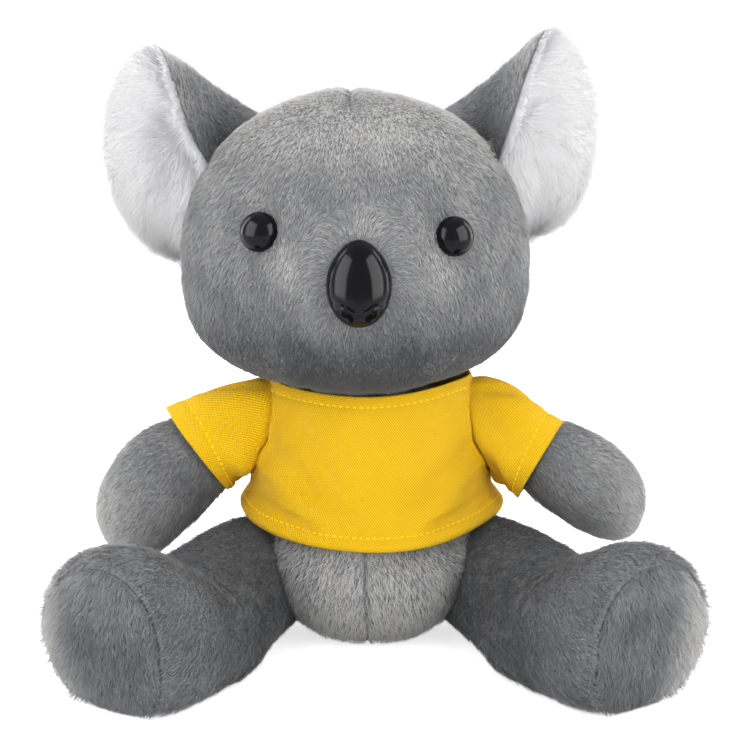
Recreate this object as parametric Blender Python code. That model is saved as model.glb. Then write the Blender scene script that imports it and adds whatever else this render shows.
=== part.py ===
"""Plush koala, seated, in a knitted T-shirt, as an assembly of its sewn, stuffed and moulded pieces.

Metres, +Z up, the face towards -Y. The origin is the middle of the flat that it sits on.
"""

import math

import bmesh
import bpy
from mathutils import Matrix, Vector

# Cloth, clearances and facets
COVER_WALL = 0.0012
SHIRT_WALL = 0.0011
SEAT_GAP = 0.0003
RUNNING_GAP = 0.0004
DISH_GAP = 0.0003
DISH_RING_SHARES = (0.12, 0.6)
FLAT_DEPTH = 0.0005
WELD_REACH = 0.000003
CUT_OVERRUN = 0.004
TORSO_SIDES = 28
CORE_SIDES = 20
LIMB_SIDES = 18
BALL_SIDES = 16
PLASTIC_SIDES = 20
WASHER_SIDES = 10
CREASE_DEG = 40.0

# Body
BODY_HEIGHT = 0.0770
BODY_HALF_WIDTH = 0.0345
BODY_HALF_DEPTH = 0.0340
BODY_PROFILE_SHARES = (  # height, half width, half depth
    (0.000, 0.49, 0.46),
    (0.035, 0.68, 0.66),
    (0.100, 0.83, 0.81),
    (0.195, 0.935, 0.92),
    (0.310, 0.985, 0.985),
    (0.440, 1.00, 1.00),
    (0.570, 0.985, 0.980),
    (0.700, 0.955, 0.950),
    (0.820, 0.838, 0.858),
    (0.910, 0.682, 0.735),
    (0.965, 0.545, 0.580),
)
NECK_X = -0.0025
NECK_Y = -0.0010
NECK_RADIUS = 0.0152
NECK_LEAN_POWER = 3

# Head
HEAD_X = -0.0045
HEAD_Y = -0.0020
HEAD_WIDEST_Z = 0.1150
HEAD_HALF_WIDTH = 0.0516
HEAD_HALF_DEPTH = 0.0450
HEAD_RISE = 0.0492
JAW_POWER = 2.8
JAW_LAST_DEG = 75.0
CROWN_LAST_DEG = 82.0
HEAD_RINGS_UP = 8
HEAD_RINGS_DOWN = 6
HEAD_TURN_DEG = 25.0

# Eyes and nose
EYE_RADIUS = 0.0060
EYE_DOME = 0.0044
EYE_RIM = 0.0006
DOME_LAST_DEG = 84.0
EYE_CENTRES = {"left": (-0.0318, 0.1280), "right": (0.0245, 0.1266)}
SHANK_RADIUS = 0.0016
SHANK_LENGTH = 0.0110
WASHER_RADIUS = 0.0046
WASHER_SEAT = 0.0009
WASHER_THICKNESS = 0.0014
WASHER_COLLAR_RADIUS = 0.0026
WASHER_COLLAR = 0.0014
NOSE_X = -0.0030
NOSE_Z = 0.1148
NOSE_HALF_WIDTH = 0.0092
NOSE_HALF_HEIGHT = 0.0124
NOSE_DOME = 0.0088
NOSE_RIM = 0.0010
NOSE_TAPER_SHARE = 0.16
NOSTRIL_RADIUS = 0.0017
NOSTRIL_APART_SHARE = 0.52
NOSTRIL_DROP_SHARE = 0.62

# Arms
SHOULDER_Y = -0.0030
SHOULDERS = {"left": (-0.0376, SHOULDER_Y, 0.0627), "right": (0.0372, SHOULDER_Y, 0.0635)}
ARM_AXES = {"left": (-0.800, -0.130, -0.585), "right": (0.850, -0.200, -0.465)}
ARM_RADII = {"left": 0.0136, "right": 0.0127}
SHOULDER_BALL = 0.0134
ARM_LENGTHS = {"left": 0.0515, "right": 0.0500}
ARM_ROOT_SHARE = 0.84
ARM_PROFILE_SHARES = (  # way along the arm, radius, lift of the middle by the radius
    (0.33, 0.930, 0.050),
    (0.48, 0.980, 0.060),
    (0.64, 1.000, 0.020),
    (0.78, 0.930, -0.080),
    (0.89, 0.760, -0.170),
    (0.96, 0.520, -0.230),
    (1.00, 0.200, -0.270),
)
ARM_RAISE_DEG = 35.0
ARM_DROP_DEG = 5.0

# Legs
HIPS = {"left": (-0.0240, -0.0158, 0.0205), "right": (0.0242, -0.0158, 0.0205)}
LEG_BEARINGS = {"left": (-0.600, -0.800), "right": (0.650, -0.760)}
HIP_BALL = 0.0165
LEG_LENGTH = 0.0820
FOOT_RADIUS = 0.0234
LEG_ROOT_SHARE = 0.879
LEG_UNDERSIDE_POWER = 2.6
LEG_PROFILE_SHARES = (  # way along the leg, half width, half height, each of the foot's radius
    (0.235, 0.850, 0.815),
    (0.370, 0.940, 0.850),
    (0.500, 0.920, 0.800),
    (0.620, 0.900, 0.780),
    (0.740, 0.960, 0.880),
    (0.860, 1.000, 0.960),
    (0.950, 0.980, 0.960),
    (1.000, 0.890, 0.890),
)
SOLE_DOME = 0.0042
SOLE_EDGE = 0.0012
SOLE_MIDDLE_SHARE = 0.10
SOLE_PLAN_SHARES = (  # rise of the dome, and how far out from the middle
    (0.00, 1.00),
    (0.45, 0.86),
    (0.80, 0.62),
    (1.00, 0.25),
)
LEG_IN_DEG = 9.0
LEG_OUT_DEG = 6.0

# Shirt
SHIRT_HALF_WIDTH = 0.0366
SHIRT_HALF_DEPTH = 0.0358
SHIRT_TOP = 0.0762
HEM_FRONT_Z = 0.0330
HEM_SIDE_Z = 0.0385
HEM_DIP_POWER = 4
SHIRT_PROFILE_SHARES = (  # way up from hem to collar, half width, half depth
    (0.00, 1.080, 1.075),
    (0.08, 1.050, 1.050),
    (0.18, 1.008, 1.010),
    (0.34, 1.000, 0.990),
    (0.52, 0.975, 0.945),
    (0.70, 0.930, 0.880),
    (0.86, 0.870, 0.810),
    (1.00, 0.830, 0.760),
)
SHIRT_COLUMNS = 20
SLEEVE_BALL = 0.0152
SLEEVE_WALL = 0.0009
SLEEVE_LENGTH = 0.0157
SLEEVE_HEM_LIFTS = {"left": 0.0018, "right": -0.0010}
SLEEVE_REACH = 0.0055
SLEEVE_ARMPIT_SHARE = -0.35
SLEEVE_CREST_SHARE = 0.5
SLEEVE_RING_SHARES = (0.0, 0.2, 0.4, 0.65, 1.0)

# Ears
EAR_ROOTS = {"left": (0.0519, 0.1086), "right": (0.0516, 0.1178)}
EAR_REACHES = {"left": 0.0246, "right": 0.0222}
EAR_HEIGHTS = {"left": 0.0680, "right": 0.0640}
EAR_CUP = 0.0130
EAR_LINER = 0.0012
EAR_SEAT_GAP = 0.0013
EAR_EDGE = 0.0016
EAR_ROWS = 5
EAR_RIM_SHARES = {  # out from the root, back by the cup's depth, up the ear's height
    "left": (
        (0.15, 0.20, 0.05),
        (0.42, 0.00, 0.12),
        (0.69, -0.10, 0.25),
        (0.85, -0.05, 0.40),
        (0.90, 0.05, 0.58),
        (0.83, 0.25, 0.78),
        (0.61, 0.35, 0.92),
        (0.34, 0.20, 0.97),
        (0.08, -0.20, 0.86),
        (-0.22, -0.45, 0.56),
    ),
    "right": (
        (0.17, 0.20, 0.02),
        (0.42, 0.00, 0.07),
        (0.69, -0.10, 0.18),
        (0.83, -0.05, 0.33),
        (0.89, 0.05, 0.52),
        (0.83, 0.25, 0.73),
        (0.58, 0.35, 0.89),
        (0.23, 0.20, 0.95),
        (-0.03, -0.20, 0.83),
        (-0.30, -0.45, 0.50),
    ),
}
EAR_FRONT_ROOT_SHARES = (
    (-0.12, 0.45, 0.040),
    (-0.12, 0.45, 0.100),
    (-0.13, 0.45, 0.170),
    (-0.15, 0.45, 0.240),
    (-0.18, 0.42, 0.300),
    (-0.22, 0.38, 0.360),
    (-0.28, 0.30, 0.400),
    (-0.34, 0.20, 0.430),
    (-0.40, 0.05, 0.455),
    (-0.46, -0.12, 0.475),
)
EAR_BACK_ROOT_SHARES = (
    (-0.15, 0.85, 0.030),
    (-0.16, 0.92, 0.090),
    (-0.18, 0.98, 0.160),
    (-0.24, 1.02, 0.260),
    (-0.34, 1.05, 0.370),
    (-0.55, 1.05, 0.480),
    (-0.82, 1.00, 0.570),
    (-1.06, 0.90, 0.630),
    (-1.14, 0.62, 0.640),
    (-1.00, 0.25, 0.610),
)
EAR_HOLLOW_SHARE = 0.70
EAR_BULGE_SHARE = 0.75
EAR_TURN_SHARE = 0.55
EAR_HINGE_TOP_SHARES = (-1.00, 0.95, 0.640)
EAR_HINGE_FOOT_SHARES = (-0.15, 0.90, 0.020)
EAR_FOLD_DEG = 18.0
EAR_CUTS = 4

SIDES = {"left": -1.0, "right": 1.0}
ACROSS = Vector((1.0, 0.0, 0.0))
BACK = Vector((0.0, 1.0, 0.0))
UP = Vector((0.0, 0.0, 1.0))

COLOURS = {  # colour, roughness
    "grey_plush": ((0.26, 0.27, 0.28), 0.95),
    "white_plush": ((0.80, 0.80, 0.81), 0.95),
    "yellow_knit": ((0.90, 0.52, 0.01), 0.85),
    "black_plastic": ((0.01, 0.01, 0.012), 0.12),
    "clear_plastic": ((0.75, 0.75, 0.74), 0.45),
    "stuffing": ((0.86, 0.86, 0.84), 1.0),
}


def clear_scene():
    for thing in list(bpy.data.objects):
        bpy.data.objects.remove(thing, do_unlink=True)


def material_of(node, finish):
    """The node's own material in one of the koala's finishes."""
    colour, roughness = COLOURS[finish]
    material = bpy.data.materials.new(f"{node}_{finish}")
    material.use_nodes = True
    shader = material.node_tree.nodes["Principled BSDF"]
    shader.inputs["Base Color"].default_value = (*colour, 1.0)
    shader.inputs["Roughness"].default_value = roughness
    material.diffuse_color = (*colour, 1.0)
    return material


def add_object(name, bm, finish, origin=(0.0, 0.0, 0.0)):
    """An object from a bmesh in world places, with its own origin where it turns."""
    bmesh.ops.recalc_face_normals(bm, faces=bm.faces)
    bmesh.ops.translate(bm, verts=bm.verts, vec=-Vector(origin))
    mesh = bpy.data.meshes.new(name)
    bm.to_mesh(mesh)
    bm.free()
    mesh.shade_smooth()
    mesh.set_sharp_from_angle(angle=math.radians(CREASE_DEG))
    made = bpy.data.objects.new(name, mesh)
    made.location = origin
    bpy.context.collection.objects.link(made)
    if finish:
        mesh.materials.append(material_of(name, finish))
    return made


def hide_cutter(thing):
    thing.hide_render = True
    thing.display_type = "WIRE"
    return thing


def boolean(target, operation, other, solver="EXACT"):
    step = target.modifiers.new(f"{operation.lower()}_{other.name}", "BOOLEAN")
    step.operation = operation
    step.solver = solver
    step.object = other


def close_end(bm, verts, ladder):
    """Closes a loft's end with one face, or with a ladder of faces where the end is a thin strip."""
    if not ladder:
        bm.faces.new(verts)
        return
    last = len(verts) - 1
    for step in range(len(verts) // 2 - 1):
        bm.faces.new((verts[step], verts[step + 1], verts[last - step - 1], verts[last - step]))


def loft(rings, closed=False, ladder=False):
    """A skin through rings of points, drawn by extruding one ring after another."""
    bm = bmesh.new()
    lane = bm.verts.layers.int.new("lane")
    verts = [bm.verts.new(point) for point in rings[0]]
    for index, vert in enumerate(verts):
        vert[lane] = index
    edges = [bm.edges.new((verts[i - 1], verts[i])) for i in range(len(verts))]
    first = list(verts)
    for ring in rings[1:] + (rings[:1] if closed else []):
        grown = bmesh.ops.extrude_edge_only(bm, edges=edges)["geom"]
        verts = sorted((v for v in grown if isinstance(v, bmesh.types.BMVert)), key=lambda v: v[lane])
        fresh = set(verts)
        edges = [e for e in grown if isinstance(e, bmesh.types.BMEdge) and fresh.issuperset(e.verts)]
        for vert in verts:
            vert.co = ring[vert[lane]]
    if closed:
        bmesh.ops.remove_doubles(bm, verts=bm.verts, dist=WELD_REACH)
    else:
        close_end(bm, first, ladder)
        close_end(bm, verts, ladder)
    return bm


def slab(front, back):
    """A closed sheet between two grids of points with the same rows and columns."""
    rings = []
    for column in range(len(front[0])):
        there = [row[column] for row in front]
        rings.append(there + [row[column] for row in reversed(back)])
    return loft(rings, ladder=True)


def ellipse_ring(centre, across, along, half_across, half_along, sides):
    return [
        centre
        + across * (half_across * math.cos(math.tau * i / sides))
        + along * (half_along * math.sin(math.tau * i / sides))
        for i in range(sides)
    ]


def ball(name, centre, radius, sides=BALL_SIDES):
    bm = bmesh.new()
    bmesh.ops.create_uvsphere(bm, u_segments=sides, v_segments=sides // 2, radius=radius)
    bmesh.ops.translate(bm, verts=bm.verts, vec=Vector(centre))
    return hide_cutter(add_object(name, bm, None))


def cylinder_between(name, start, end, radius, sides, finish=None):
    start = Vector(start)
    way = Vector(end) - start
    turn = UP.rotation_difference(way).to_matrix()
    rings = [
        ellipse_ring(start + way * share, turn.col[0], turn.col[1], radius, radius, sides)
        for share in (0.0, 1.0)
    ]
    return add_object(name, loft(rings), finish)


# Body


def level_ring(centre, z, half_width, half_depth, sides):
    place = Vector((centre[0], centre[1], z))
    return ellipse_ring(place, ACROSS, BACK, half_width, half_depth, sides)


def body_rings(inset, top, sides=TORSO_SIDES):
    """The pear of the body, drawn in by inset, from the flat seat up to a neck that ends at top."""
    rings = []
    for height_share, width_share, depth_share in BODY_PROFILE_SHARES:
        z = BODY_HEIGHT * height_share
        lifted = inset + z * (1.0 - inset / BODY_HEIGHT)
        centre = (NECK_X * height_share**NECK_LEAN_POWER, NECK_Y * height_share**NECK_LEAN_POWER)
        width = BODY_HALF_WIDTH * width_share - inset
        depth = BODY_HALF_DEPTH * depth_share - inset
        rings.append(level_ring(centre, lifted, width, depth, sides))
    neck = NECK_RADIUS - inset
    rings.append(level_ring((NECK_X, NECK_Y), top, neck, neck, sides))
    return rings


def joint_balls(prefix, inset):
    made = []
    for side in SIDES:
        made.append(ball(f"{prefix}_shoulder_{side}", SHOULDERS[side], SHOULDER_BALL - inset))
        made.append(ball(f"{prefix}_hip_{side}", HIPS[side], HIP_BALL - inset))
    return made


def build_body():
    """The body's cover, open at the neck, and the stuffing in it, both with their shoulders and hips."""
    cover = add_object("body_cover", loft(body_rings(0.0, BODY_HEIGHT)), "grey_plush")
    for swell in joint_balls("cover", 0.0):
        boolean(cover, "UNION", swell)
    inside = body_rings(COVER_WALL, BODY_HEIGHT + CUT_OVERRUN, CORE_SIDES)
    hollow = add_object("body_hollow", loft(inside), None)
    for swell in joint_balls("hollow", COVER_WALL):
        boolean(hollow, "UNION", swell)
    boolean(cover, "DIFFERENCE", hide_cutter(hollow))
    inset = COVER_WALL + SEAT_GAP
    core = body_rings(inset, BODY_HEIGHT, CORE_SIDES)
    stuffing = add_object("body_stuffing", loft(core), "stuffing")
    for swell in joint_balls("stuffing", inset):
        boolean(stuffing, "UNION", swell)
    return [cover, stuffing]


# Head


def head_outline(inset):
    """Half outline of the head from its neck up: height, and the share of its full girth there."""
    jaw = HEAD_WIDEST_Z - BODY_HEIGHT - SEAT_GAP
    steps = []
    for index in range(HEAD_RINGS_DOWN):
        turn = math.radians(JAW_LAST_DEG) * (1.0 - index / HEAD_RINGS_DOWN)
        drop = math.sin(turn) ** (2.0 / JAW_POWER)
        steps.append((HEAD_WIDEST_Z - (jaw - inset) * drop, math.cos(turn) ** (2.0 / JAW_POWER)))
    for index in range(HEAD_RINGS_UP + 1):
        turn = math.radians(CROWN_LAST_DEG) * index / HEAD_RINGS_UP
        steps.append((HEAD_WIDEST_Z + (HEAD_RISE - inset) * math.sin(turn), math.cos(turn)))
    return steps


def head_rings(inset, neck_z, sides=TORSO_SIDES):
    neck = NECK_RADIUS - inset
    rings = [level_ring((NECK_X, NECK_Y), neck_z, neck, neck, sides)]
    for z, girth in head_outline(inset):
        width = (HEAD_HALF_WIDTH - inset) * girth
        depth = (HEAD_HALF_DEPTH - inset) * girth
        rings.append(level_ring((HEAD_X, HEAD_Y), z, width, depth, sides))
    return rings


def face_place(x, z):
    """The point on the front of the head at x and z, and the way that the cover faces there."""
    across = (x - HEAD_X) / HEAD_HALF_WIDTH
    rise = HEAD_RISE if z > HEAD_WIDEST_Z else HEAD_WIDEST_Z - BODY_HEIGHT
    power = 2.0 if z > HEAD_WIDEST_Z else JAW_POWER
    up = (z - HEAD_WIDEST_Z) / rise
    girth = (1.0 - abs(up) ** power) ** (1.0 / power)
    out = math.sqrt(girth**2 - across**2)
    place = Vector((x, HEAD_Y - HEAD_HALF_DEPTH * out, z))
    facing = Vector((across / HEAD_HALF_WIDTH, -out / HEAD_HALF_DEPTH, up / rise))
    return place, facing.normalized()


def turned_piece(name, place, facing, profile, finish, shape=None):
    """A round piece from a profile of heights and radii along the way it faces."""
    turn = UP.rotation_difference(facing).to_matrix()
    rings = [
        ellipse_ring(place + facing * height, turn.col[0], turn.col[1], radius, radius, PLASTIC_SIDES)
        for height, radius in profile
    ]
    if shape:
        rings = [[shape(point) for point in ring] for ring in rings]
    return add_object(name, loft(rings), finish)


def dome_profile(radius, rise, rim, shank, steps=5):
    """A safety eye: the shank, the flat back, a short rim and the dome."""
    profile = [(-shank, SHANK_RADIUS), (SEAT_GAP, SHANK_RADIUS), (SEAT_GAP, radius)]
    for index in range(steps + 1):
        turn = math.radians(DOME_LAST_DEG) * index / steps
        profile.append((SEAT_GAP + rim + rise * math.sin(turn), radius * math.cos(turn)))
    return profile


def washer_profile(bore):
    """The toothed washer's section, bore first, as a closed ring of heights and radii."""
    face = -COVER_WALL - WASHER_SEAT
    back = face - WASHER_THICKNESS
    return [
        (face, bore),
        (face, WASHER_RADIUS),
        (back, WASHER_RADIUS),
        (back, WASHER_COLLAR_RADIUS),
        (back - WASHER_COLLAR, WASHER_COLLAR_RADIUS),
        (back - WASHER_COLLAR, bore),
    ]


def build_washer(name, place, facing):
    turn = UP.rotation_difference(facing).to_matrix()
    bore = SHANK_RADIUS + SEAT_GAP
    rings = [
        ellipse_ring(place + facing * height, turn.col[0], turn.col[1], radius, radius, WASHER_SIDES)
        for height, radius in washer_profile(bore)
    ]
    return add_object(name, loft(rings, closed=True), "clear_plastic")


def fit_through_face(name, place, facing, cover, stuffing):
    """The hole in the cover for a shank, and the room in the stuffing for its washer."""
    hole = cylinder_between(
        f"{name}_hole",
        place + facing * CUT_OVERRUN,
        place - facing * CUT_OVERRUN,
        SHANK_RADIUS + SEAT_GAP,
        WASHER_SIDES,
    )
    boolean(cover, "DIFFERENCE", hide_cutter(hole))
    room = cylinder_between(
        f"{name}_room",
        place + facing * CUT_OVERRUN,
        place - facing * (SHANK_LENGTH + SEAT_GAP),
        WASHER_RADIUS + SEAT_GAP,
        WASHER_SIDES,
    )
    boolean(stuffing, "DIFFERENCE", hide_cutter(room))


def nose_shape(place):
    """Stretches a round dome into the nose's egg, narrower towards its top."""

    def shape(point):
        offset = point - place
        up = offset.z / NOSE_HALF_HEIGHT
        if Vector((offset.x, 0.0, offset.z)).length < SHANK_RADIUS + SEAT_GAP:
            return point
        narrow = 1.0 - NOSE_TAPER_SHARE * max(up, 0.0) ** 2
        return place + Vector((offset.x * narrow * NOSE_HALF_WIDTH / NOSE_HALF_HEIGHT, offset.y, offset.z))

    return shape


def build_nose(cover, stuffing):
    place, _ = face_place(NOSE_X, NOSE_Z)
    facing = Vector((0.0, -1.0, 0.0))
    profile = dome_profile(NOSE_HALF_HEIGHT, NOSE_DOME, NOSE_RIM, SHANK_LENGTH)
    nose = turned_piece("nose", place, facing, profile, "black_plastic", nose_shape(place))
    for side, sign in SIDES.items():
        across = sign * NOSE_HALF_WIDTH * NOSTRIL_APART_SHARE
        drop = -NOSE_HALF_HEIGHT * NOSTRIL_DROP_SHARE
        reach = math.sqrt(1.0 - NOSTRIL_APART_SHARE**2 - NOSTRIL_DROP_SHARE**2)
        surface = place + Vector((across, -SEAT_GAP - NOSE_RIM - NOSE_DOME * reach, drop))
        nostril = ball(f"nostril_{side}", surface, NOSTRIL_RADIUS, WASHER_SIDES)
        boolean(nose, "DIFFERENCE", nostril)
    fit_through_face("nose", place, facing, cover, stuffing)
    return [nose, build_washer("nose_washer", place, facing)]


def build_head():
    """The head's cover, open at the neck, its stuffing, and the eyes and nose locked through it."""
    top = BODY_HEIGHT + SEAT_GAP
    outer = head_rings(0.0, top)
    inner = head_rings(COVER_WALL, top)
    cover = add_object("head_cover", loft(outer[::-1] + inner), "grey_plush")
    inset = COVER_WALL + SEAT_GAP
    stuffing = add_object("head_stuffing", loft(head_rings(inset, top, CORE_SIDES)), "stuffing")
    made = [cover, stuffing]
    for side, (x, z) in EYE_CENTRES.items():
        place, facing = face_place(x, z)
        profile = dome_profile(EYE_RADIUS, EYE_DOME, EYE_RIM, SHANK_LENGTH)
        made.append(turned_piece(f"eye_{side}", place, facing, profile, "black_plastic"))
        made.append(build_washer(f"eye_washer_{side}", place, facing))
        fit_through_face(f"eye_{side}", place, facing, cover, stuffing)
    return made + build_nose(cover, stuffing)


# Ears


def ear_point(side, shares):
    out, back, up = shares
    root, foot = EAR_ROOTS[side]
    across = root + EAR_REACHES[side] * out
    return Vector((HEAD_X + SIDES[side] * across, EAR_CUP * back, foot + EAR_HEIGHTS[side] * up))


def ear_sheet(side, root_shares, sink):
    """Rows of points from the ear's rim to its root, bowed back by sink in the middle."""
    rims = [ear_point(side, shares) for shares in EAR_RIM_SHARES[side]]
    roots = [ear_point(side, shares) for shares in root_shares]
    rows = []
    for row in range(EAR_ROWS + 1):
        way = row / EAR_ROWS
        bow = Vector((0.0, EAR_CUP * sink * 2.0 * way * (1.0 - way), 0.0))
        rows.append([rim.lerp(root, way) + bow for rim, root in zip(rims, roots)])
    return rows


def thickened(side, rows, depth):
    """A sheet moved back by depth, and inwards too where the ear's front edge runs backwards."""
    last = len(rows[0]) - 1
    moved = []
    for row in rows:
        steps = [BACK - ACROSS * (SIDES[side] * EAR_TURN_SHARE * (i / last) ** 2) for i in range(last + 1)]
        moved.append([point + step.normalized() * depth for point, step in zip(row, steps)])
    return moved


def ear_hinge(side):
    top = ear_point(side, EAR_HINGE_TOP_SHARES)
    foot = ear_point(side, EAR_HINGE_FOOT_SHARES)
    return foot, (top - foot).normalized()


def head_clearances(side):
    """The head, a little larger, as the ear meets it at steps of its fold."""
    foot, axis = ear_hinge(side)
    cutters = []
    for index in range(EAR_CUTS):
        turn = -SIDES[side] * math.radians(EAR_FOLD_DEG) * index / (EAR_CUTS - 1)
        bm = loft(head_rings(-RUNNING_GAP, BODY_HEIGHT))
        swing = Matrix.Translation(foot) @ Matrix.Rotation(turn, 4, axis) @ Matrix.Translation(-foot)
        bmesh.ops.transform(bm, matrix=swing, verts=bm.verts)
        cutters.append(hide_cutter(add_object(f"head_clearance_{side}_{index}", bm, None)))
    return cutters


def build_ear(side):
    """The ear's grey padded back and the white liner in its cup, trimmed to the head."""
    foot, _ = ear_hinge(side)
    front = ear_sheet(side, EAR_FRONT_ROOT_SHARES, EAR_HOLLOW_SHARE)
    behind = ear_sheet(side, EAR_BACK_ROOT_SHARES, EAR_BULGE_SHARE)
    liner_back = thickened(side, front, EAR_LINER)
    pad_front = thickened(side, front, EAR_LINER + EAR_SEAT_GAP)
    pad_back = thickened(side, behind, EAR_LINER + EAR_SEAT_GAP + EAR_EDGE)
    liner = add_object(f"ear_front_{side}", slab(front, liner_back), "white_plush", foot)
    pad = add_object(f"ear_back_{side}", slab(pad_front, pad_back), "grey_plush", foot)
    for cutter in head_clearances(side):
        boolean(liner, "DIFFERENCE", cutter, "MANIFOLD")
        boolean(pad, "DIFFERENCE", cutter, "MANIFOLD")
    return [pad, liner]


# Arms and sleeves


def limb_frame(axis):
    """The limb's axis and two ways square to it, the second as near up as it can be."""
    axis = Vector(axis).normalized()
    across = axis.cross(UP).normalized()
    return axis, across, across.cross(axis)


def seated_ring(centre, frame, ball_radius, half_across, half_up, sides):
    """A limb's end ring, each point lying on the ball that the limb turns on."""
    axis, across, upward = frame
    ring = []
    for index in range(sides):
        turn = math.tau * index / sides
        off = across * (half_across * math.cos(turn)) + upward * (half_up * math.sin(turn))
        ring.append(centre + off + axis * math.sqrt(ball_radius**2 - off.length_squared))
    return ring


def arm_rings(side, inset):
    length = ARM_LENGTHS[side] - inset
    centre = Vector(SHOULDERS[side])
    frame = limb_frame(ARM_AXES[side])
    axis, across, upward = frame
    full = ARM_RADII[side]
    root = full * ARM_ROOT_SHARE - inset
    rings = [seated_ring(centre, frame, SHOULDER_BALL + RUNNING_GAP, root, root, LIMB_SIDES)]
    for way, radius_share, lift_share in ARM_PROFILE_SHARES:
        radius = (full - inset) * radius_share
        middle = centre + axis * (length * way) + upward * (full * lift_share)
        rings.append(ellipse_ring(middle, across, upward, radius, radius, LIMB_SIDES))
    return rings


def build_arm(side):
    """An arm's cover, open where it is sewn to the shoulder, and its stuffing."""
    centre = SHOULDERS[side]
    outer = arm_rings(side, 0.0)
    inner = arm_rings(side, COVER_WALL)
    inset = COVER_WALL + SEAT_GAP
    core = arm_rings(side, inset)
    bm = loft(outer[::-1] + inner)
    cover = add_object(f"arm_cover_{side}", bm, "grey_plush", centre)
    stuffing = add_object(f"arm_stuffing_{side}", loft_seated(core, centre), "stuffing", centre)
    return [cover, stuffing, build_sleeve(side)]


def loft_seated(rings, centre):
    """A limb's stuffing, its end hollowed to the ball that it lies against."""
    hollow = []
    middle = sum((Vector(point) for point in rings[0]), Vector()) / len(rings[0])
    reach = (rings[0][0] - Vector(centre)).length + DISH_GAP
    for share in DISH_RING_SHARES:
        ring = []
        for point in rings[0]:
            near = middle.lerp(point, share) - Vector(centre)
            ring.append(Vector(centre) + near.normalized() * reach)
        hollow.append(ring)
    return loft(hollow + rings)


def sleeve_rings(side, inset):
    """A sleeve: half a ball round the shoulder, cut upright at the armhole, and the cuff's tube."""
    centre = Vector(SHOULDERS[side])
    axis, across, upward = limb_frame(ARM_AXES[side])
    outward = ACROSS * SIDES[side]
    radius = SLEEVE_BALL - inset
    rings = []
    for share in SLEEVE_RING_SHARES:
        ring = []
        for index in range(LIMB_SIDES):
            turn = math.tau * index / LIMB_SIDES
            way = across * math.cos(turn) + upward * math.sin(turn)
            edge = math.atan2(axis.dot(outward), -way.dot(outward))
            rise = max(SLEEVE_ARMPIT_SHARE, min(1.0, way.z + SLEEVE_CREST_SHARE))
            edge += math.asin(SLEEVE_REACH / SLEEVE_BALL) * rise
            start = radius / math.tan(edge) if edge < math.pi / 2 else radius * (math.pi / 2 - edge)
            run = start + (SLEEVE_LENGTH - start) * share
            if run < 0.0:
                turned = -run / radius
                place = axis * (-radius * math.sin(turned)) + way * (radius * math.cos(turned))
            else:
                place = axis * run + way * radius + upward * (SLEEVE_HEM_LIFTS[side] * run / SLEEVE_LENGTH)
            ring.append(centre + place)
        rings.append(ring)
    return rings


def build_sleeve(side):
    outer = sleeve_rings(side, 0.0)
    inner = sleeve_rings(side, SLEEVE_WALL)
    bm = loft(outer + inner[::-1], closed=True)
    return add_object(f"sleeve_{side}", bm, "yellow_knit", SHOULDERS[side])


# Legs


def leg_section(middle, across, half_width, half_height):
    """A leg's section: round above, and pressed flatter towards the seat's level below."""
    ring = []
    for index in range(LIMB_SIDES):
        turn = math.tau * index / LIMB_SIDES
        side_way, upward = math.cos(turn), math.sin(turn)
        if upward < 0.0:
            side_way = math.copysign(abs(side_way) ** (2.0 / LEG_UNDERSIDE_POWER), side_way)
            upward = -(abs(upward) ** (2.0 / LEG_UNDERSIDE_POWER))
        ring.append(middle + across * (half_width * side_way) + UP * (half_height * upward))
    return ring


def leg_rings(side, inset, end_inset):
    centre = Vector(HIPS[side])
    bearing = Vector((*LEG_BEARINGS[side], 0.0))
    frame = limb_frame(bearing)
    axis, across, _ = frame
    root = HIP_BALL * LEG_ROOT_SHARE - inset
    rings = [seated_ring(centre, frame, HIP_BALL + RUNNING_GAP, root, root, LIMB_SIDES)]
    for way, width_share, height_share in LEG_PROFILE_SHARES:
        half_width = FOOT_RADIUS * width_share - inset
        half_height = FOOT_RADIUS * height_share - inset
        middle = centre + axis * ((LEG_LENGTH - end_inset) * way)
        middle.z = half_height + inset - FLAT_DEPTH
        ring = leg_section(middle, across, half_width, half_height)
        rings.append([Vector((p.x, p.y, max(p.z, inset))) for p in ring])
    return rings


def build_sole(side):
    """The sole: a slightly domed disc sewn into the leg's end."""
    centre = Vector(HIPS[side])
    axis, across, _ = limb_frame((*LEG_BEARINGS[side], 0.0))
    _, width_share, height_share = LEG_PROFILE_SHARES[-1]
    half_width = FOOT_RADIUS * width_share
    half_height = FOOT_RADIUS * height_share
    rings = []
    plan = [(SEAT_GAP, SOLE_MIDDLE_SHARE), (SEAT_GAP, 1.0)]
    plan += [(SEAT_GAP + SOLE_EDGE + SOLE_DOME * rise, share) for rise, share in SOLE_PLAN_SHARES]
    for out, share in plan:
        middle = centre + axis * (LEG_LENGTH + out)
        middle.z = half_height - FLAT_DEPTH
        ring = leg_section(middle, across, half_width * share, half_height * share)
        rings.append([Vector((p.x, p.y, max(p.z, 0.0))) for p in ring])
    return add_object(f"foot_sole_{side}", loft(rings), "grey_plush", HIPS[side])


def build_leg(side):
    """A leg's cover, a tube from the hip to the sole, its stuffing, and its sole."""
    outer = leg_rings(side, 0.0, 0.0)
    inner = leg_rings(side, COVER_WALL, 0.0)
    inset = COVER_WALL + SEAT_GAP
    cover = add_object(f"leg_cover_{side}", loft(outer + inner[::-1], closed=True), "grey_plush", HIPS[side])
    core = loft_seated(leg_rings(side, inset, SEAT_GAP), HIPS[side])
    stuffing = add_object(f"leg_stuffing_{side}", core, "stuffing", HIPS[side])
    return [cover, stuffing, build_sole(side)]


# Shirt


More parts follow.
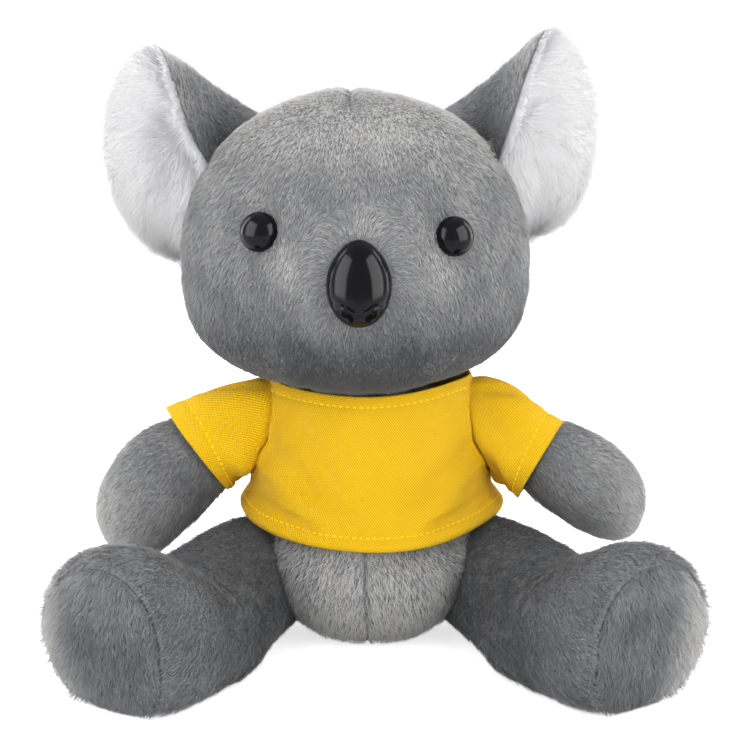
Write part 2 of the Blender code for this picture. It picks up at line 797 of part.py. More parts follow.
def shirt_grid(front, inset):
    """A panel of the shirt from hem to collar, from one side seam round to the other."""
    facing = -1.0 if front else 1.0
    rows = []
    for way, width_share, depth_share in SHIRT_PROFILE_SHARES:
        row = []
        for column in range(SHIRT_COLUMNS + 1):
            turn = math.pi * column / SHIRT_COLUMNS
            spread = math.sin(turn)
            hem = HEM_SIDE_Z + (HEM_FRONT_Z - HEM_SIDE_Z) * spread**HEM_DIP_POWER
            x = (SHIRT_HALF_WIDTH * width_share - inset) * math.cos(turn)
            reach = SHIRT_HALF_DEPTH * depth_share - inset - facing * SHOULDER_Y
            y = SHOULDER_Y + facing * max(reach * spread, SEAT_GAP / 2)
            row.append(Vector((x, y, hem + (SHIRT_TOP - hem) * way)))
        rows.append(row)
    return rows


def build_shirt():
    """The shirt's front and back, sewn at the sides, with armholes cut round the sleeves' caps."""
    made = []
    for name, front in (("shirt_front", True), ("shirt_back", False)):
        bm = slab(shirt_grid(front, 0.0), shirt_grid(front, SHIRT_WALL))
        made.append(add_object(name, bm, "yellow_knit"))
    for side in SIDES:
        hole = ball(f"armhole_{side}", SHOULDERS[side], SLEEVE_BALL + RUNNING_GAP, PLASTIC_SIDES)
        for panel in made:
            boolean(panel, "DIFFERENCE", hole)
    return made


def parent_to(name, place, pieces, carrier=None):
    """Hangs pieces from an empty at their joint, without moving them."""
    pivot = bpy.data.objects.new(name, None)
    bpy.context.collection.objects.link(pivot)
    pivot.location = place
    if carrier:
        pivot.parent = carrier
        pivot.matrix_parent_inverse = Matrix.Translation(-carrier.location)
    for piece in pieces:
        piece.parent = pivot
        piece.matrix_parent_inverse = Matrix.Translation(-Vector(place))
    return pivot


def main():
    clear_scene()
    torso = parent_to("torso_pivot", (0.0, 0.0, 0.0), build_body() + build_shirt())
    neck = (NECK_X, NECK_Y, BODY_HEIGHT)
    head = parent_to("head_pivot", neck, build_head(), torso)
    for side in SIDES:
        parent_to(f"arm_{side}_pivot", SHOULDERS[side], build_arm(side), torso)
        parent_to(f"leg_{side}_pivot", HIPS[side], build_leg(side), torso)
        foot, _ = ear_hinge(side)
        parent_to(f"ear_{side}_pivot", foot, build_ear(side), head)


main()
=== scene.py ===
"""A seated plush koala in a golden T-shirt: its pile, cloth, stitching and moulded pieces.

Metres, +Z up, the face towards -Y. "left" and "right" are the picture's.
"""

import logging
import math
from dataclasses import dataclass, field
from enum import Enum
from typing import Callable, Optional

import bpy
import numpy as np
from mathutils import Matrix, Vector


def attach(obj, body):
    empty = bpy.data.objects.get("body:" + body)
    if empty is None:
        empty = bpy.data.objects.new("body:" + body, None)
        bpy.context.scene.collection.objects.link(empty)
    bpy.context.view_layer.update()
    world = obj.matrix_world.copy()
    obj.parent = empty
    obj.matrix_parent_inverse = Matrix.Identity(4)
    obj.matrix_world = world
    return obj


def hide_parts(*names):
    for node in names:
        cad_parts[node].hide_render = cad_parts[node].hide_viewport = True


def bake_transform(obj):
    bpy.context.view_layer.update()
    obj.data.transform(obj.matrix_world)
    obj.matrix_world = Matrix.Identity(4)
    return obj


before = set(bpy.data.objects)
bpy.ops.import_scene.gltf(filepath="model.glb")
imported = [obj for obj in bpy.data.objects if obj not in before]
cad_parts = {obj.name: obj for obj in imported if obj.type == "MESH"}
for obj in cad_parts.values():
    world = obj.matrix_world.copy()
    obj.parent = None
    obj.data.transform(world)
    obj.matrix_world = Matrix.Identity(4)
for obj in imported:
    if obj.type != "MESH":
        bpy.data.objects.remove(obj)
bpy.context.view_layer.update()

LOG = logging.getLogger("koala")

Array = np.ndarray
Shape = Callable[[Array, Array], Array]
Field = Callable[[Array, Array], Array]
Colour = tuple[float, float, float]

TAU = math.tau
UP = np.array((0.0, 0.0, 1.0))
PIECE_STRANDS = 60000
HAIR_MAP = "OFBake"
CLOTH_MAP = "cloth"
HIDDEN_SHARE = 0.02
STRIP_MAP = (0.02, 0.02, 0.55, 0.55, 0.55, 0.55, 0.98)
STRIP_SIDES = (-0.006, 0.006, 0.006, -0.006, -0.006, 0.006, 0.0)
EDGE_LINE = 241


class Side(Enum):
    """A side of the toy, with the sign of its X."""

    LEFT = -1.0
    RIGHT = 1.0

    @property
    def word(self) -> str:
        """The side's word in the names of its nodes."""
        return self.name.lower()


def both(left: object, right: object) -> object:
    """A field of a dataclass with a value for each side."""
    return field(default_factory=lambda: {Side.LEFT: left, Side.RIGHT: right})


# Numbers on surfaces


def unit(vectors: Array) -> Array:
    """Vectors at length one."""
    return vectors / np.maximum(np.linalg.norm(vectors, axis=-1, keepdims=True), 1e-12)


def points(*parts: Array) -> Array:
    """Points from rows of x, y and z."""
    return np.stack(parts, axis=1)


def gap(places: Array, point: Array) -> Array:
    """How far places lie from a point."""
    return np.linalg.norm(places - point, axis=1)


def bell(distance: Array, width: float) -> Array:
    """A soft bump, 1 at no distance and fading over the width."""
    return np.exp(-((distance / width) ** 2))


def bump(places: Array, point: Array, height: float, width: float) -> Array:
    """A soft bump of a height round a point."""
    return height * bell(gap(places, point), width)


def ease(value: Array, start: float, end: float) -> Array:
    """0 before start, 1 after end, smooth between."""
    share = np.clip((value - start) / (end - start), 0.0, 1.0)
    return share * share * (3.0 - 2.0 * share)


def squared(value: Array, power: float) -> Array:
    """A sine or cosine at a power, its sign kept."""
    return np.sign(value) * np.abs(value) ** power


def circle(height: Array) -> Array:
    """How wide a unit circle is at a height."""
    return np.sqrt(np.clip(1.0 - height**2, 0.0, 1.0))


def curve_through(knots: Array, shares: Array) -> Array:
    """A smooth curve through knots.

    Args:
        knots: The points that it passes, in order.
        shares: Places along it, from 0 to 1.

    Returns:
        The curve's points at the shares.
    """
    last = len(knots) - 1
    along = np.clip(shares, 0.0, 1.0) * last
    index = np.minimum(along.astype(int), last - 1)
    part = (along - index)[:, None]
    before, start = knots[np.maximum(index - 1, 0)], knots[index]
    end, after = knots[index + 1], knots[np.minimum(index + 2, last)]
    return 0.5 * (
        2.0 * start
        + (end - before) * part
        + (2.0 * before - 5.0 * start + 4.0 * end - after) * part**2
        + (3.0 * start - before - 3.0 * end + after) * part**3
    )


def ripple(places: Array, size: float, seed: int, waves: int = 7) -> Array:
    """Smooth unevenness over a surface, about -1 to 1.

    Args:
        places: Points to read it at.
        size: The usual width of a swell.
        seed: Which unevenness.
        waves: How many waves are summed.

    Returns:
        One number a point.
    """
    rng = np.random.default_rng(seed)
    ways = unit(rng.normal(size=(waves, 3))) / (size * rng.uniform(0.7, 1.6, (waves, 1)))
    return np.sin(places @ ways.T * TAU + rng.uniform(0.0, TAU, waves)).sum(axis=1) / math.sqrt(waves) / 1.4


# Shader graphs


class Value:
    """A number in a shader, on which Python's arithmetic adds Math nodes."""

    def __init__(self, graph: "Graph", socket: bpy.types.NodeSocket) -> None:
        """Wraps a socket of a graph."""
        self.graph = graph
        self.socket = socket

    def math(self, operation: str, *operands: object) -> "Value":
        """Adds one Math node over its operands."""
        return self.graph.value("ShaderNodeMath", {"operation": operation}, dict(enumerate(operands)))

    def __add__(self, other: object) -> "Value":
        """Sum."""
        return self.math("ADD", self, other)

    def __radd__(self, other: object) -> "Value":
        """Sum, reflected."""
        return self.math("ADD", other, self)

    def __sub__(self, other: object) -> "Value":
        """Difference."""
        return self.math("SUBTRACT", self, other)

    def __mul__(self, other: object) -> "Value":
        """Product."""
        return self.math("MULTIPLY", self, other)

    def wave(self) -> "Value":
        """The sine of the value, from 0 to 1."""
        return self.math("SINE", self) * 0.5 + 0.5

    def most(self, other: object) -> "Value":
        """The larger of two values."""
        return self.math("MAXIMUM", self, other)


class Graph:
    """A tree of shader nodes: a new material's, or one that is there."""

    def __init__(self, name: str = "", roughness: float = 0.5, tree: object = None, **constants: float) -> None:
        """Starts a material, or takes a tree.

        Args:
            name: The material's name.
            roughness: Its roughness.
            tree: A tree that is there, for no new material.
            constants: Other sockets of the shader, underscores for spaces.
        """
        self.tree = tree
        if tree is None:
            self.material = bpy.data.materials.new(name)
            self.material.use_nodes = True
            self.tree = self.material.node_tree
            self.shader = self.tree.nodes["Principled BSDF"]
            for socket, value in {"Roughness": roughness, **constants}.items():
                self.shader.inputs[socket.replace("_", " ")].default_value = value

    def node(self, kind: str, settings: Optional[dict] = None, sockets: Optional[dict] = None) -> bpy.types.Node:
        """Adds any node.

        Args:
            kind: The node's type.
            settings: Its own settings, and "stops" for a ramp.
            sockets: Values or links of its inputs, by name or index.

        Returns:
            The node.
        """
        made = self.tree.nodes.new(kind)
        for key, setting in (settings or {}).items():
            if key == "stops":
                ramp = made.color_ramp
                while len(ramp.elements) < len(setting):
                    ramp.elements.new(0.5)
                for element, (place, colour) in zip(ramp.elements, setting):
                    element.position = place
                    element.color = (*colour, 1.0)
            else:
                setattr(made, key, setting)
        for key, value in (sockets or {}).items():
            self.feed(made.inputs[key], value)
        return made

    def feed(self, socket: bpy.types.NodeSocket, value: object) -> None:
        """Links a socket, or sets it to a constant."""
        value = value.socket if isinstance(value, Value) else value
        if isinstance(value, bpy.types.NodeSocket):
            self.tree.links.new(value, socket)
        elif isinstance(value, tuple) and len(value) == 3 and socket.type == "RGBA":
            socket.default_value = (*value, 1.0)
        else:
            socket.default_value = value

    def value(self, kind: str, settings: Optional[dict] = None, sockets: Optional[dict] = None) -> Value:
        """Adds a node and wraps its first output."""
        return Value(self, self.node(kind, settings, sockets).outputs[0])

    def noise(self, scale: float, detail: float, stretch: Colour = (1.0, 1.0, 1.0)) -> Value:
        """Noise on object coordinates, about 0 to 1."""
        where = self.node("ShaderNodeTexCoord").outputs["Object"]
        place = self.node("ShaderNodeMapping", None, {"Vector": where, "Scale": stretch}).outputs[0]
        return self.value("ShaderNodeTexNoise", None, {"Vector": place, "Scale": scale, "Detail": detail})

    def map_parts(self, name: str) -> list[Value]:
        """A map's width and height."""
        where = self.node("ShaderNodeUVMap", {"uv_map": name}).outputs[0]
        split = self.node("ShaderNodeSeparateXYZ", None, {0: where})
        return [Value(self, output) for output in split.outputs[:2]]

    def blend(self, factor: object, first: object, second: object, how: str = "MIX") -> bpy.types.NodeSocket:
        """Mixes two colours."""
        settings = {"data_type": "RGBA", "blend_type": how}
        return self.node("ShaderNodeMix", settings, {0: factor, 6: first, 7: second}).outputs[2]

    def ramp(self, factor: object, stops: list[tuple[float, Colour]]) -> bpy.types.NodeSocket:
        """A colour ramp."""
        return self.node("ShaderNodeValToRGB", {"stops": stops}, {0: factor}).outputs[0]

    def seen(self) -> Value:
        """1 where the camera, a gloss or clear glass looks, 0 where light only bounces."""
        sight = self.node("ShaderNodeLightPath")
        rays = ("Is Camera Ray", "Is Glossy Ray", "Is Transmission Ray")
        camera, glossy, clear = (Value(self, sight.outputs[ray]) for ray in rays)
        return camera.most(glossy).most(clear)

    def paint(self, colour: object, height: Optional[Value] = None, depth: float = 0.0) -> bpy.types.Material:
        """Finishes the material with its colour and its relief.

        Args:
            colour: The base colour's socket or value.
            height: What raises the surface, if anything does.
            depth: How deep that relief is.

        Returns:
            The material.
        """
        self.feed(self.shader.inputs["Base Color"], colour)
        if height is not None:
            bump = self.node("ShaderNodeBump", None, {"Height": height, "Distance": depth, "Strength": 1.0})
            self.feed(self.shader.inputs["Normal"], bump.outputs[0])
        return self.material

    def end(self, factor: object, first: bpy.types.Node, second: bpy.types.Node) -> bpy.types.Material:
        """Ends the material in a mix of two shaders."""
        shaders = {0: factor, 1: first.outputs[0], 2: second.outputs[0]}
        mixed = self.node("ShaderNodeMixShader", None, shaders)
        self.feed(self.tree.nodes["Material Output"].inputs["Surface"], mixed.outputs[0])
        return self.material


# Finishes


@dataclass(frozen=True)
class Pile:
    """A plush: the shades of its hairs from dark to light, and their cut."""

    name: str
    slot: str
    shades: tuple[Colour, Colour, Colour]
    # Colour share at the roots: painted shade deep in the pile.
    root_shade_share: float = 0.58
    length: float = 0.0024
    width: float = 0.00013
    lift: float = 0.46
    lift_spread: float = 0.14
    thinness: float = 0.38
    ground_cap: float = 0.72

    def hair_material(self) -> bpy.types.Material:
        """The hairs' material: their map's width holds the shade and its height the way from root to tip."""
        graph = Graph(f"{self.name}_pile", 0.78, Sheen_Weight=0.45, Sheen_Roughness=0.40, Specular_IOR_Level=0.25)
        place, reach = graph.map_parts(HAIR_MAP)
        dark, middle, light = self.shades
        shade = graph.ramp(place, [(0.02, dark), (0.5, middle), (0.98, light)])
        # Painted shade: the roots are darker than the tips, standing in for the shade deep in the pile, and the paler
        # tips give the outline a painted rim light.
        root, bend = self.root_shade_share, 0.3 * self.root_shade_share + 0.7
        along = graph.ramp(reach, [(0.0, (root,) * 3), (0.45, (bend,) * 3), (1.0, (1.0,) * 3)])
        tint = graph.blend(1.0, shade, along, "MULTIPLY")
        graph.paint(tint)
        glow = graph.node("ShaderNodeBsdfTranslucent", None, {"Color": tint})
        return graph.end(self.thinness, graph.shader, glow)

    def ground_material(self) -> bpy.types.Material:
        """The knitted ground under the pile, painted as dark as the roots over it: painted shade under the hairs."""
        graph = Graph(f"{self.name}_ground", 0.95, Sheen_Weight=0.1)
        dark, middle, _ = self.shades
        mottle, patch = graph.noise(900.0, 4.0), graph.noise(160.0, 2.0)
        # Painted shade: the ground is darker than the hairs, for the shade under the pile.
        deep = tuple(0.55 * part for part in dark)
        shallow = tuple(min(self.root_shade_share * 1.15 * part, self.ground_cap) for part in middle)
        return graph.paint(graph.blend(mottle * 0.7 + patch * 0.3, deep, shallow), mottle, 0.0006)


@dataclass(frozen=True)
class Knit:
    """A fine rib jersey, its map in metres round and along the cloth."""

    name: str
    slot: str
    deep: Colour
    face: Colour
    pale: Colour
    pitch: float = 0.00074
    course: float = 0.00058

    def material(self) -> bpy.types.Material:
        """The jersey: slanted ribs, their courses and a little unevenness."""
        graph = Graph(f"{self.name}_jersey", 0.80, Sheen_Weight=0.04, Sheen_Roughness=0.4, Specular_IOR_Level=0.12)
        across, along = graph.map_parts(CLOTH_MAP)
        rib = ((across + along * 0.75) * (TAU / self.pitch)).wave()
        course = ((along - across * 0.2) * (TAU / self.course)).wave()
        fuzz, patch = graph.noise(2600.0, 2.0), graph.noise(70.0, 3.0)
        weave = rib * 0.6 + course * 0.25 + fuzz * 0.15
        tint = graph.blend(weave, self.deep, self.face)
        return graph.paint(graph.blend(patch * 0.25, tint, self.pale), weave, 0.00028)

    def thread_material(self) -> bpy.types.Material:
        """The sewing thread, twisted and a shade paler."""
        graph = Graph(f"{self.name}_thread", 0.70, Specular_IOR_Level=0.1)
        twist = graph.noise(2500.0, 1.0, (1.0, 1.0, 2.5))
        return graph.paint(graph.blend(twist * 0.5 + 0.05, self.pale, self.face), twist, 0.0001)


@dataclass(frozen=True)
class Moulding:
    """A polished or plain moulded plastic."""

    name: str
    slot: str
    colour: Colour
    roughness: float
    shine: float

    def material(self) -> bpy.types.Material:
        """The moulding: a little flow and dust in its gloss."""
        graph = Graph(self.name, self.roughness, Specular_IOR_Level=self.shine)
        flow = graph.noise(120.0, 2.0)
        pale = tuple(min(1.0, 1.9 * part) for part in self.colour)
        gloss = self.roughness + (flow - 0.5) * (self.roughness * 0.5)
        graph.feed(graph.shader.inputs["Roughness"], gloss)
        return graph.paint(graph.blend(flow, self.colour, pale), flow, 0.00006)


GREY = Pile("grey_plush", "grey_plush", ((0.095, 0.100, 0.108), (0.360, 0.366, 0.375), (0.74, 0.73, 0.71)))
GREY_LONG = Pile(
    "grey_long_plush", "grey_plush", ((0.090, 0.096, 0.104), (0.330, 0.338, 0.348), (0.70, 0.69, 0.67)),
    length=0.0029, lift=0.50,
)
WHITE = Pile(
    "white_plush", "white_plush", ((0.66, 0.66, 0.68), (0.92, 0.92, 0.93), (0.96, 0.96, 0.96)),
    root_shade_share=0.96, length=0.0054, width=0.00020, lift=0.42,
)
JERSEY = Knit("gold", "yellow_knit", (0.47, 0.255, 0.001), (0.86, 0.520, 0.003), (0.90, 0.58, 0.010))
BLACK = Moulding("black_moulding", "black_plastic", (0.002, 0.002, 0.003), 0.15, 0.10)
CLEAR = Moulding("natural_moulding", "clear_plastic", (0.62, 0.62, 0.60), 0.45, 0.5)


# Making pieces


def take(name: str) -> bpy.types.Object:
    """Names the object just added."""
    made = bpy.context.active_object
    made.name = made.data.name = name
    return made


def add(name: str, data: bpy.types.ID) -> bpy.types.Object:
    """Puts new data in the scene as an object."""
    made = bpy.data.objects.new(name, data)
    bpy.context.collection.objects.link(made)
    return made


def ball(name: str, segments: int, rings: int) -> bpy.types.Object:
    """A sphere of radius 1."""
    bpy.ops.mesh.primitive_uv_sphere_add(segments=segments, ring_count=rings, radius=1.0)
    return take(name)


def points_of(piece: bpy.types.Object, what: str = "co") -> Array:
    """A mesh's points, or their normals with what="normal"."""
    vertices = piece.data.vertices
    flat = np.zeros(len(vertices) * 3, np.float32)
    vertices.foreach_get(what, flat)
    return flat.reshape(-1, 3).astype(float)


def store(holder: object, key: str, numbers: Array) -> None:
    """Writes rows of numbers to a mesh's points, map or attribute."""
    holder.foreach_set(key, numbers.astype(np.float32).ravel())


def reshape(piece: bpy.types.Object, places: Array) -> None:
    """Moves a mesh's points."""
    store(piece.data.vertices, "co", places)
    piece.data.update()


def turn_out(joined: float = 0.0) -> None:
    """Turns the active piece's faces outward and smooths it, joining points closer than joined."""
    bpy.ops.object.mode_set(mode="EDIT")
    bpy.ops.mesh.select_all(action="SELECT")
    if joined:
        bpy.ops.mesh.remove_doubles(threshold=joined)
    bpy.ops.mesh.normals_make_consistent(inside=False)
    bpy.ops.object.mode_set(mode="OBJECT")
    bpy.ops.object.shade_smooth()


def drape(
    name: str, columns: int, rows: int, shape: Shape, cloth_size: Optional[tuple[float, float]] = None
) -> bpy.types.Object:
    """A surface from a flat grid whose points go where shape puts them, sewn where its edges meet.

    Args:
        name: The piece's name.
        columns: Squares across the grid.
        rows: Squares along it.
        shape: Where a point of the grid goes, from its shares across and along.
        cloth_size: Width and length of the cloth's map, where it has one.

    Returns:
        The piece, at the origin, with its faces outward.
    """
    bpy.ops.mesh.primitive_grid_add(x_subdivisions=columns, y_subdivisions=rows, size=1.0)
    piece = take(name)
    shares = points_of(piece)[:, :2] + 0.5
    if cloth_size:
        layer = piece.data.uv_layers.active
        layer.name = CLOTH_MAP
        spread = np.zeros(len(piece.data.loops), np.int32)
        piece.data.loops.foreach_get("vertex_index", spread)
        store(layer.data, "uv", shares[spread] * cloth_size)
    reshape(piece, shape(shares[:, 0], shares[:, 1]))
    turn_out(0.000002)
    return piece


def thicken(piece: bpy.types.Object, wall: float) -> None:
    """Gives cloth its thickness, inwards."""
    bpy.ops.object.select_all(action="DESELECT")
    piece.select_set(True)
    bpy.context.view_layer.objects.active = piece
    solid = piece.modifiers.new("cloth", "SOLIDIFY")
    solid.thickness = wall
    solid.offset = -1.0
    bpy.ops.object.modifier_apply(modifier=solid.name)


def face_out(piece: bpy.types.Object, inside: Array) -> None:
    """Turns an open sheet's faces away from a point inside it."""
    if (points_of(piece, "normal") * (points_of(piece) - inside)).sum() < 0.0:
        piece.data.flip_normals()


def wear(piece: bpy.types.Object, material: bpy.types.Material) -> bpy.types.Object:
    """Puts a material on a piece."""
    piece.data.materials.clear()
    piece.data.materials.append(material)
    return piece


def cover(name: str, columns: int, rows: int, shape: Shape, finish: "Pile") -> bpy.types.Object:
    """A skin that wears the ground of its pile."""
    return wear(drape(name, columns, rows, shape), finish.ground_material())


@dataclass
class Coat:
    """A pile on a skin: which way it is combed, how thick, long and light it is at each place."""

    finish: Pile
    count: int
    comb: Field
    seed: int
    weight: Optional[Field] = None
    shade: Optional[Field] = None
    length: Optional[Field] = None
    clump: float = 0.0007
    bend_share: float = 0.55
    gather: float = 0.24

    def grow(self, name: str, skin: bpy.types.Object, material: bpy.types.Material) -> list[bpy.types.Object]:
        """Grows the hairs on a skin.

        Args:
            name: The first part of the new pieces' names.
            skin: What they grow on.
            material: What they wear.

        Returns:
            The pieces, each with at most PIECE_STRANDS hairs.
        """
        rng = np.random.default_rng(self.seed)
        roots, normals = self._roots(skin, self.count, rng)
        order = np.argsort(roots[:, 0], kind="stable")
        hairs, shades, facing = self._hairs(roots[order], normals[order], rng)
        made = []
        pieces = max(1, math.ceil(len(roots) / PIECE_STRANDS))
        for index, part in enumerate(np.array_split(np.arange(len(roots)), pieces)):
            piece = self._piece(f"{name}_{index + 1}", hairs[part], shades[part], facing[part])
            made.append(wear(piece, material))
        return made

    def _roots(self, skin: bpy.types.Object, count: int, rng: np.random.Generator) -> tuple[Array, Array]:
        """Where the hairs grow, and the way that the skin faces there."""
        mesh = skin.data
        mesh.calc_loop_triangles()
        corners = np.zeros(len(mesh.loop_triangles) * 3, np.int32)
        mesh.loop_triangles.foreach_get("vertices", corners)
        corners = corners.reshape(-1, 3)
        places, facing = points_of(skin), points_of(skin, "normal")
        first, second, third = (places[corners[:, i]] for i in range(3))
        area = np.linalg.norm(np.cross(second - first, third - first), axis=1)
        if self.weight:
            area = area * self.weight((first + second + third) / 3.0, unit(facing[corners].sum(axis=1)))
        chosen = rng.choice(len(area), count, p=area / area.sum())
        one, two = rng.random((2, count, 1))
        folded = one + two > 1.0
        one, two = np.where(folded, 1.0 - one, one), np.where(folded, 1.0 - two, two)
        shares = (1.0 - one - two, one, two)
        roots, normals = (
            sum(share * values[corners[chosen, i]] for i, share in enumerate(shares)) for values in (places, facing)
        )
        return roots, unit(normals)

    def _hairs(self, roots: Array, normals: Array, rng: np.random.Generator) -> tuple[Array, Array, Array]:
        """The five points of each hair, its shade and the way that it faces."""
        count, finish = len(roots), self.finish
        comb = unit(self.comb(roots, normals))
        comb = unit(comb - normals * (comb * normals).sum(axis=1, keepdims=True) + 1e-6)
        side = np.cross(normals, comb)
        sway = 0.16 * ripple(roots, 0.012, self.seed + 1) + 0.16 * ripple(roots, 0.0042, self.seed + 2)
        sway = (sway + rng.normal(0.0, 0.26, count))[:, None]
        comb = unit(comb * np.cos(sway) + side * np.sin(sway))
        warp = points(*(ripple(roots, 0.004, self.seed + 10 + k) for k in range(3)))
        warped = roots / self.clump + warp * 0.8
        cell = np.floor(warped)
        toward = (cell + 0.5 - warped) * self.clump
        luck = np.sin((cell @ (12.9898, 78.233, 37.719)) % TAU * 43758.5453)
        length = finish.length * (1.0 + 0.18 * ripple(roots, 0.007, self.seed + 3) + 0.16 * luck)
        length = length * rng.uniform(0.78, 1.12, count)
        if self.length is not None:
            length = length * self.length(roots, normals)
        lift = finish.lift + finish.lift_spread * (0.5 * luck + 0.6 * rng.normal(size=count))
        lift = np.clip(lift + 0.12 * ripple(roots, 0.009, self.seed + 4), 0.12, 1.25)[:, None]
        low, high = (comb * np.cos(rise) + normals * np.sin(rise) for rise in (lift, lift * 0.45))
        bend = roots + low * (length * self.bend_share)[:, None]
        tip = bend + high * (length * (1.0 - self.bend_share))[:, None] + toward * self.gather
        roll = rng.normal(0.0, 0.45, count)[:, None]
        flat = unit(unit(np.cross(high, normals)) * np.cos(roll) + normals * np.sin(roll))
        half = flat * (finish.width * 0.5 * rng.uniform(0.7, 1.3, count))[:, None]
        hairs = points(roots - half, roots + half, bend + half * 0.9, bend - half * 0.9, tip)
        hairs[..., 2] = np.maximum(hairs[..., 2], 0.00005)
        shade = 0.5 + 0.09 * luck + 0.08 * ripple(roots, 0.016, self.seed + 5) + rng.normal(0.0, 0.09, count)
        if self.shade is not None:
            shade = shade + self.shade(roots, normals)
        return hairs, np.clip(shade, 0.02, 0.98), unit(normals + 0.35 * unit(np.cross(flat, high)))

    def _piece(self, name: str, hairs: Array, shades: Array, facing: Array) -> bpy.types.Object:
        """A mesh of hairs, each a strip and a point, with its map of shades."""
        each = np.arange(len(hairs))[:, None]
        mesh = bpy.data.meshes.new(name)
        mesh.vertices.add(len(hairs) * 5)
        store(mesh.vertices, "co", hairs)
        mesh.loops.add(len(hairs) * 7)
        mesh.loops.foreach_set("vertex_index", (each * 5 + (0, 1, 2, 3, 3, 2, 4)).astype(np.int32).ravel())
        mesh.polygons.add(len(hairs) * 2)
        mesh.polygons.foreach_set("loop_start", (each * 7 + (0, 4)).astype(np.int32).ravel())
        mesh.polygons.foreach_set("use_smooth", np.ones(len(hairs) * 2, bool))
        layer = mesh.uv_layers.new(name=HAIR_MAP)
        across = shades[:, None] + np.array(STRIP_SIDES)
        along = np.broadcast_to(STRIP_MAP, across.shape)
        store(layer.data, "uv", np.stack([across, along], axis=2))
        mesh.update()
        mesh.validate()
        soft = mesh.attributes.new("custom_normal", "FLOAT_VECTOR", "POINT")
        store(soft.data, "vector", np.repeat(facing, 5, axis=0))
        return add(name, mesh)


# The toy's parts


@dataclass
class Head:
    """The head: its skin, pile, eyes and nose."""

    centre: tuple[float, float] = (-0.0045, -0.0020)
    widest: float = 0.1150
    half_width: float = 0.0516
    half_depth: float = 0.0450
    rise: float = 0.0492
    bottom: float = 0.0766
    jaw_power: float = 3.0
    inset: float = 0.0006
    crown: float = 0.1642
    crown_seam: tuple[float, float] = (0.159, 0.162)
    muzzle: tuple[float, float] = (0.0016, 0.017)
    cheek: tuple[float, float] = (0.0008, 0.012)
    socket: tuple[float, float] = (-0.0021, 0.0085)
    eyes: dict = both((-0.0318, 0.1280), (0.0245, 0.1266))
    eye_radius: float = 0.0057
    eye_rim: float = 0.0009
    eye_dome: float = 0.0044
    eye_back: float = 0.0016
    eye_sink: float = 0.0012
    nose: tuple[float, float] = (-0.0030, 0.1148)
    nose_half: tuple[float, float] = (0.0093, 0.0127)
    nose_dome: float = 0.0088
    nose_foot: float = 0.34
    nose_sink: float = 0.0008
    hairs: int = 182000

    def surface(self, x: float, z: float) -> tuple[Array, Array]:
        """The front of the head at x and z, and the way that it faces there."""
        above = z > self.widest
        height, power = (self.rise, 2.0) if above else (self.widest - self.bottom, self.jaw_power)
        across, up = (x - self.centre[0]) / self.half_width, (z - self.widest) / height
        girth = (1.0 - abs(up) ** power) ** (1.0 / power)
        out = math.sqrt(girth**2 - across**2)
        facing = unit(np.array((across / self.half_width, -out / self.half_depth, up / height)))
        return np.array((x, self.centre[1] - self.half_depth * out, z)), facing

    def by_eyes(self, share: float = 1.0, below: float = 0.0) -> list[Array]:
        """Places on the face at both eyes, or at a share of their x and below them."""
        return [self.surface(x * share, z - below)[0] for x, z in self.eyes.values()]

    def by_nose(self, above: float = 0.0) -> Array:
        """The place on the face under the nose, or above that."""
        return self.surface(self.nose[0], self.nose[1] + above)[0]

    def seam(self, places: Array) -> Array:
        """How far places lie aside of the seam over the crown."""
        return places[:, 0] - self.centre[0] + 0.0010 + 0.15 * np.maximum(self.crown - places[:, 2], 0.0)

    def shape(self, across: Array, along: Array) -> Array:
        """The skin: a rounded jaw below, a dome above, with sockets and a slight muzzle."""
        turn, lean = across * TAU, (along - 0.5) * math.pi
        power, below = 2.0 / self.jaw_power, lean < 0.0
        reach, height = np.abs(np.sin(lean)), np.abs(np.cos(lean))
        girth = np.where(below, height**power, height)
        jaw, dome = self.widest - self.bottom - self.inset, self.rise - self.inset
        z = self.widest + np.where(below, -jaw * reach**power, dome * reach)
        x = self.centre[0] + (self.half_width - self.inset) * girth * np.cos(turn)
        y = self.centre[1] + (self.half_depth - self.inset) * girth * np.sin(turn)
        skin = points(x, y, z)
        outward = unit((skin - (*self.centre, self.widest)) / (self.half_width, self.half_depth, self.rise))
        swell = 0.0004 * ripple(skin, 0.030, 71) + bump(skin, self.by_nose(-0.004), *self.muzzle)
        for eye, beside in zip(self.by_eyes(), self.by_eyes(0.78, 0.012)):
            swell += bump(skin, beside, *self.cheek) + bump(skin, eye, *self.socket)
        seam = self.seam(skin)
        swell -= 0.0013 * bell(seam, 0.0011) * ease(z, *self.crown_seam)
        swell -= 0.0006 * bell(seam, 0.0012) * ease(-z, -0.099, -0.095) * (y < 0.0)
        return skin + outward * swell[:, None]

    def comb(self, places: Array, normals: Array) -> Array:
        """The nap falls from the crown, and opens round the nose and the eyes."""
        z, off = places[:, 2], places[:, 0] - self.centre[0] + 0.001
        way = np.tile(-UP, (len(places), 1))
        way[:, 0] += 0.16 * np.clip(off / 0.03, -1.0, 1.0)
        way[:, 0] += 0.7 * np.sign(off) * bell(off, 0.0022) * ease(z, 0.158, 0.162)
        way[:, 1] -= 0.8 * ease(z, 0.135, 0.158)
        away = places - self.by_nose()
        near = bell(gap(away * (1.2, 1.0, 0.9), 0.0), 0.020)[:, None]
        way = way * (1.0 - near) + 1.4 * unit(away) * near
        for eye in self.by_eyes():
            way += 1.3 * unit(places - eye) * bell(gap(places, eye), 0.0090)[:, None]
        return way

    def weight(self, places: Array, normals: Array) -> Array:
        """No hair under the eyes, the nose and the neck."""
        x, y, z = places.T
        thick = np.where((z < self.bottom + 0.004) & (np.hypot(x, y) < 0.02), 0.05, 1.0)
        for eye in self.by_eyes():
            thick *= gap(places, eye) > self.eye_radius * 0.82
        off = (places - self.by_nose()) / (self.nose_half[0], 0.010, self.nose_half[1])
        return thick * (gap(off, 0.0) > 0.97)

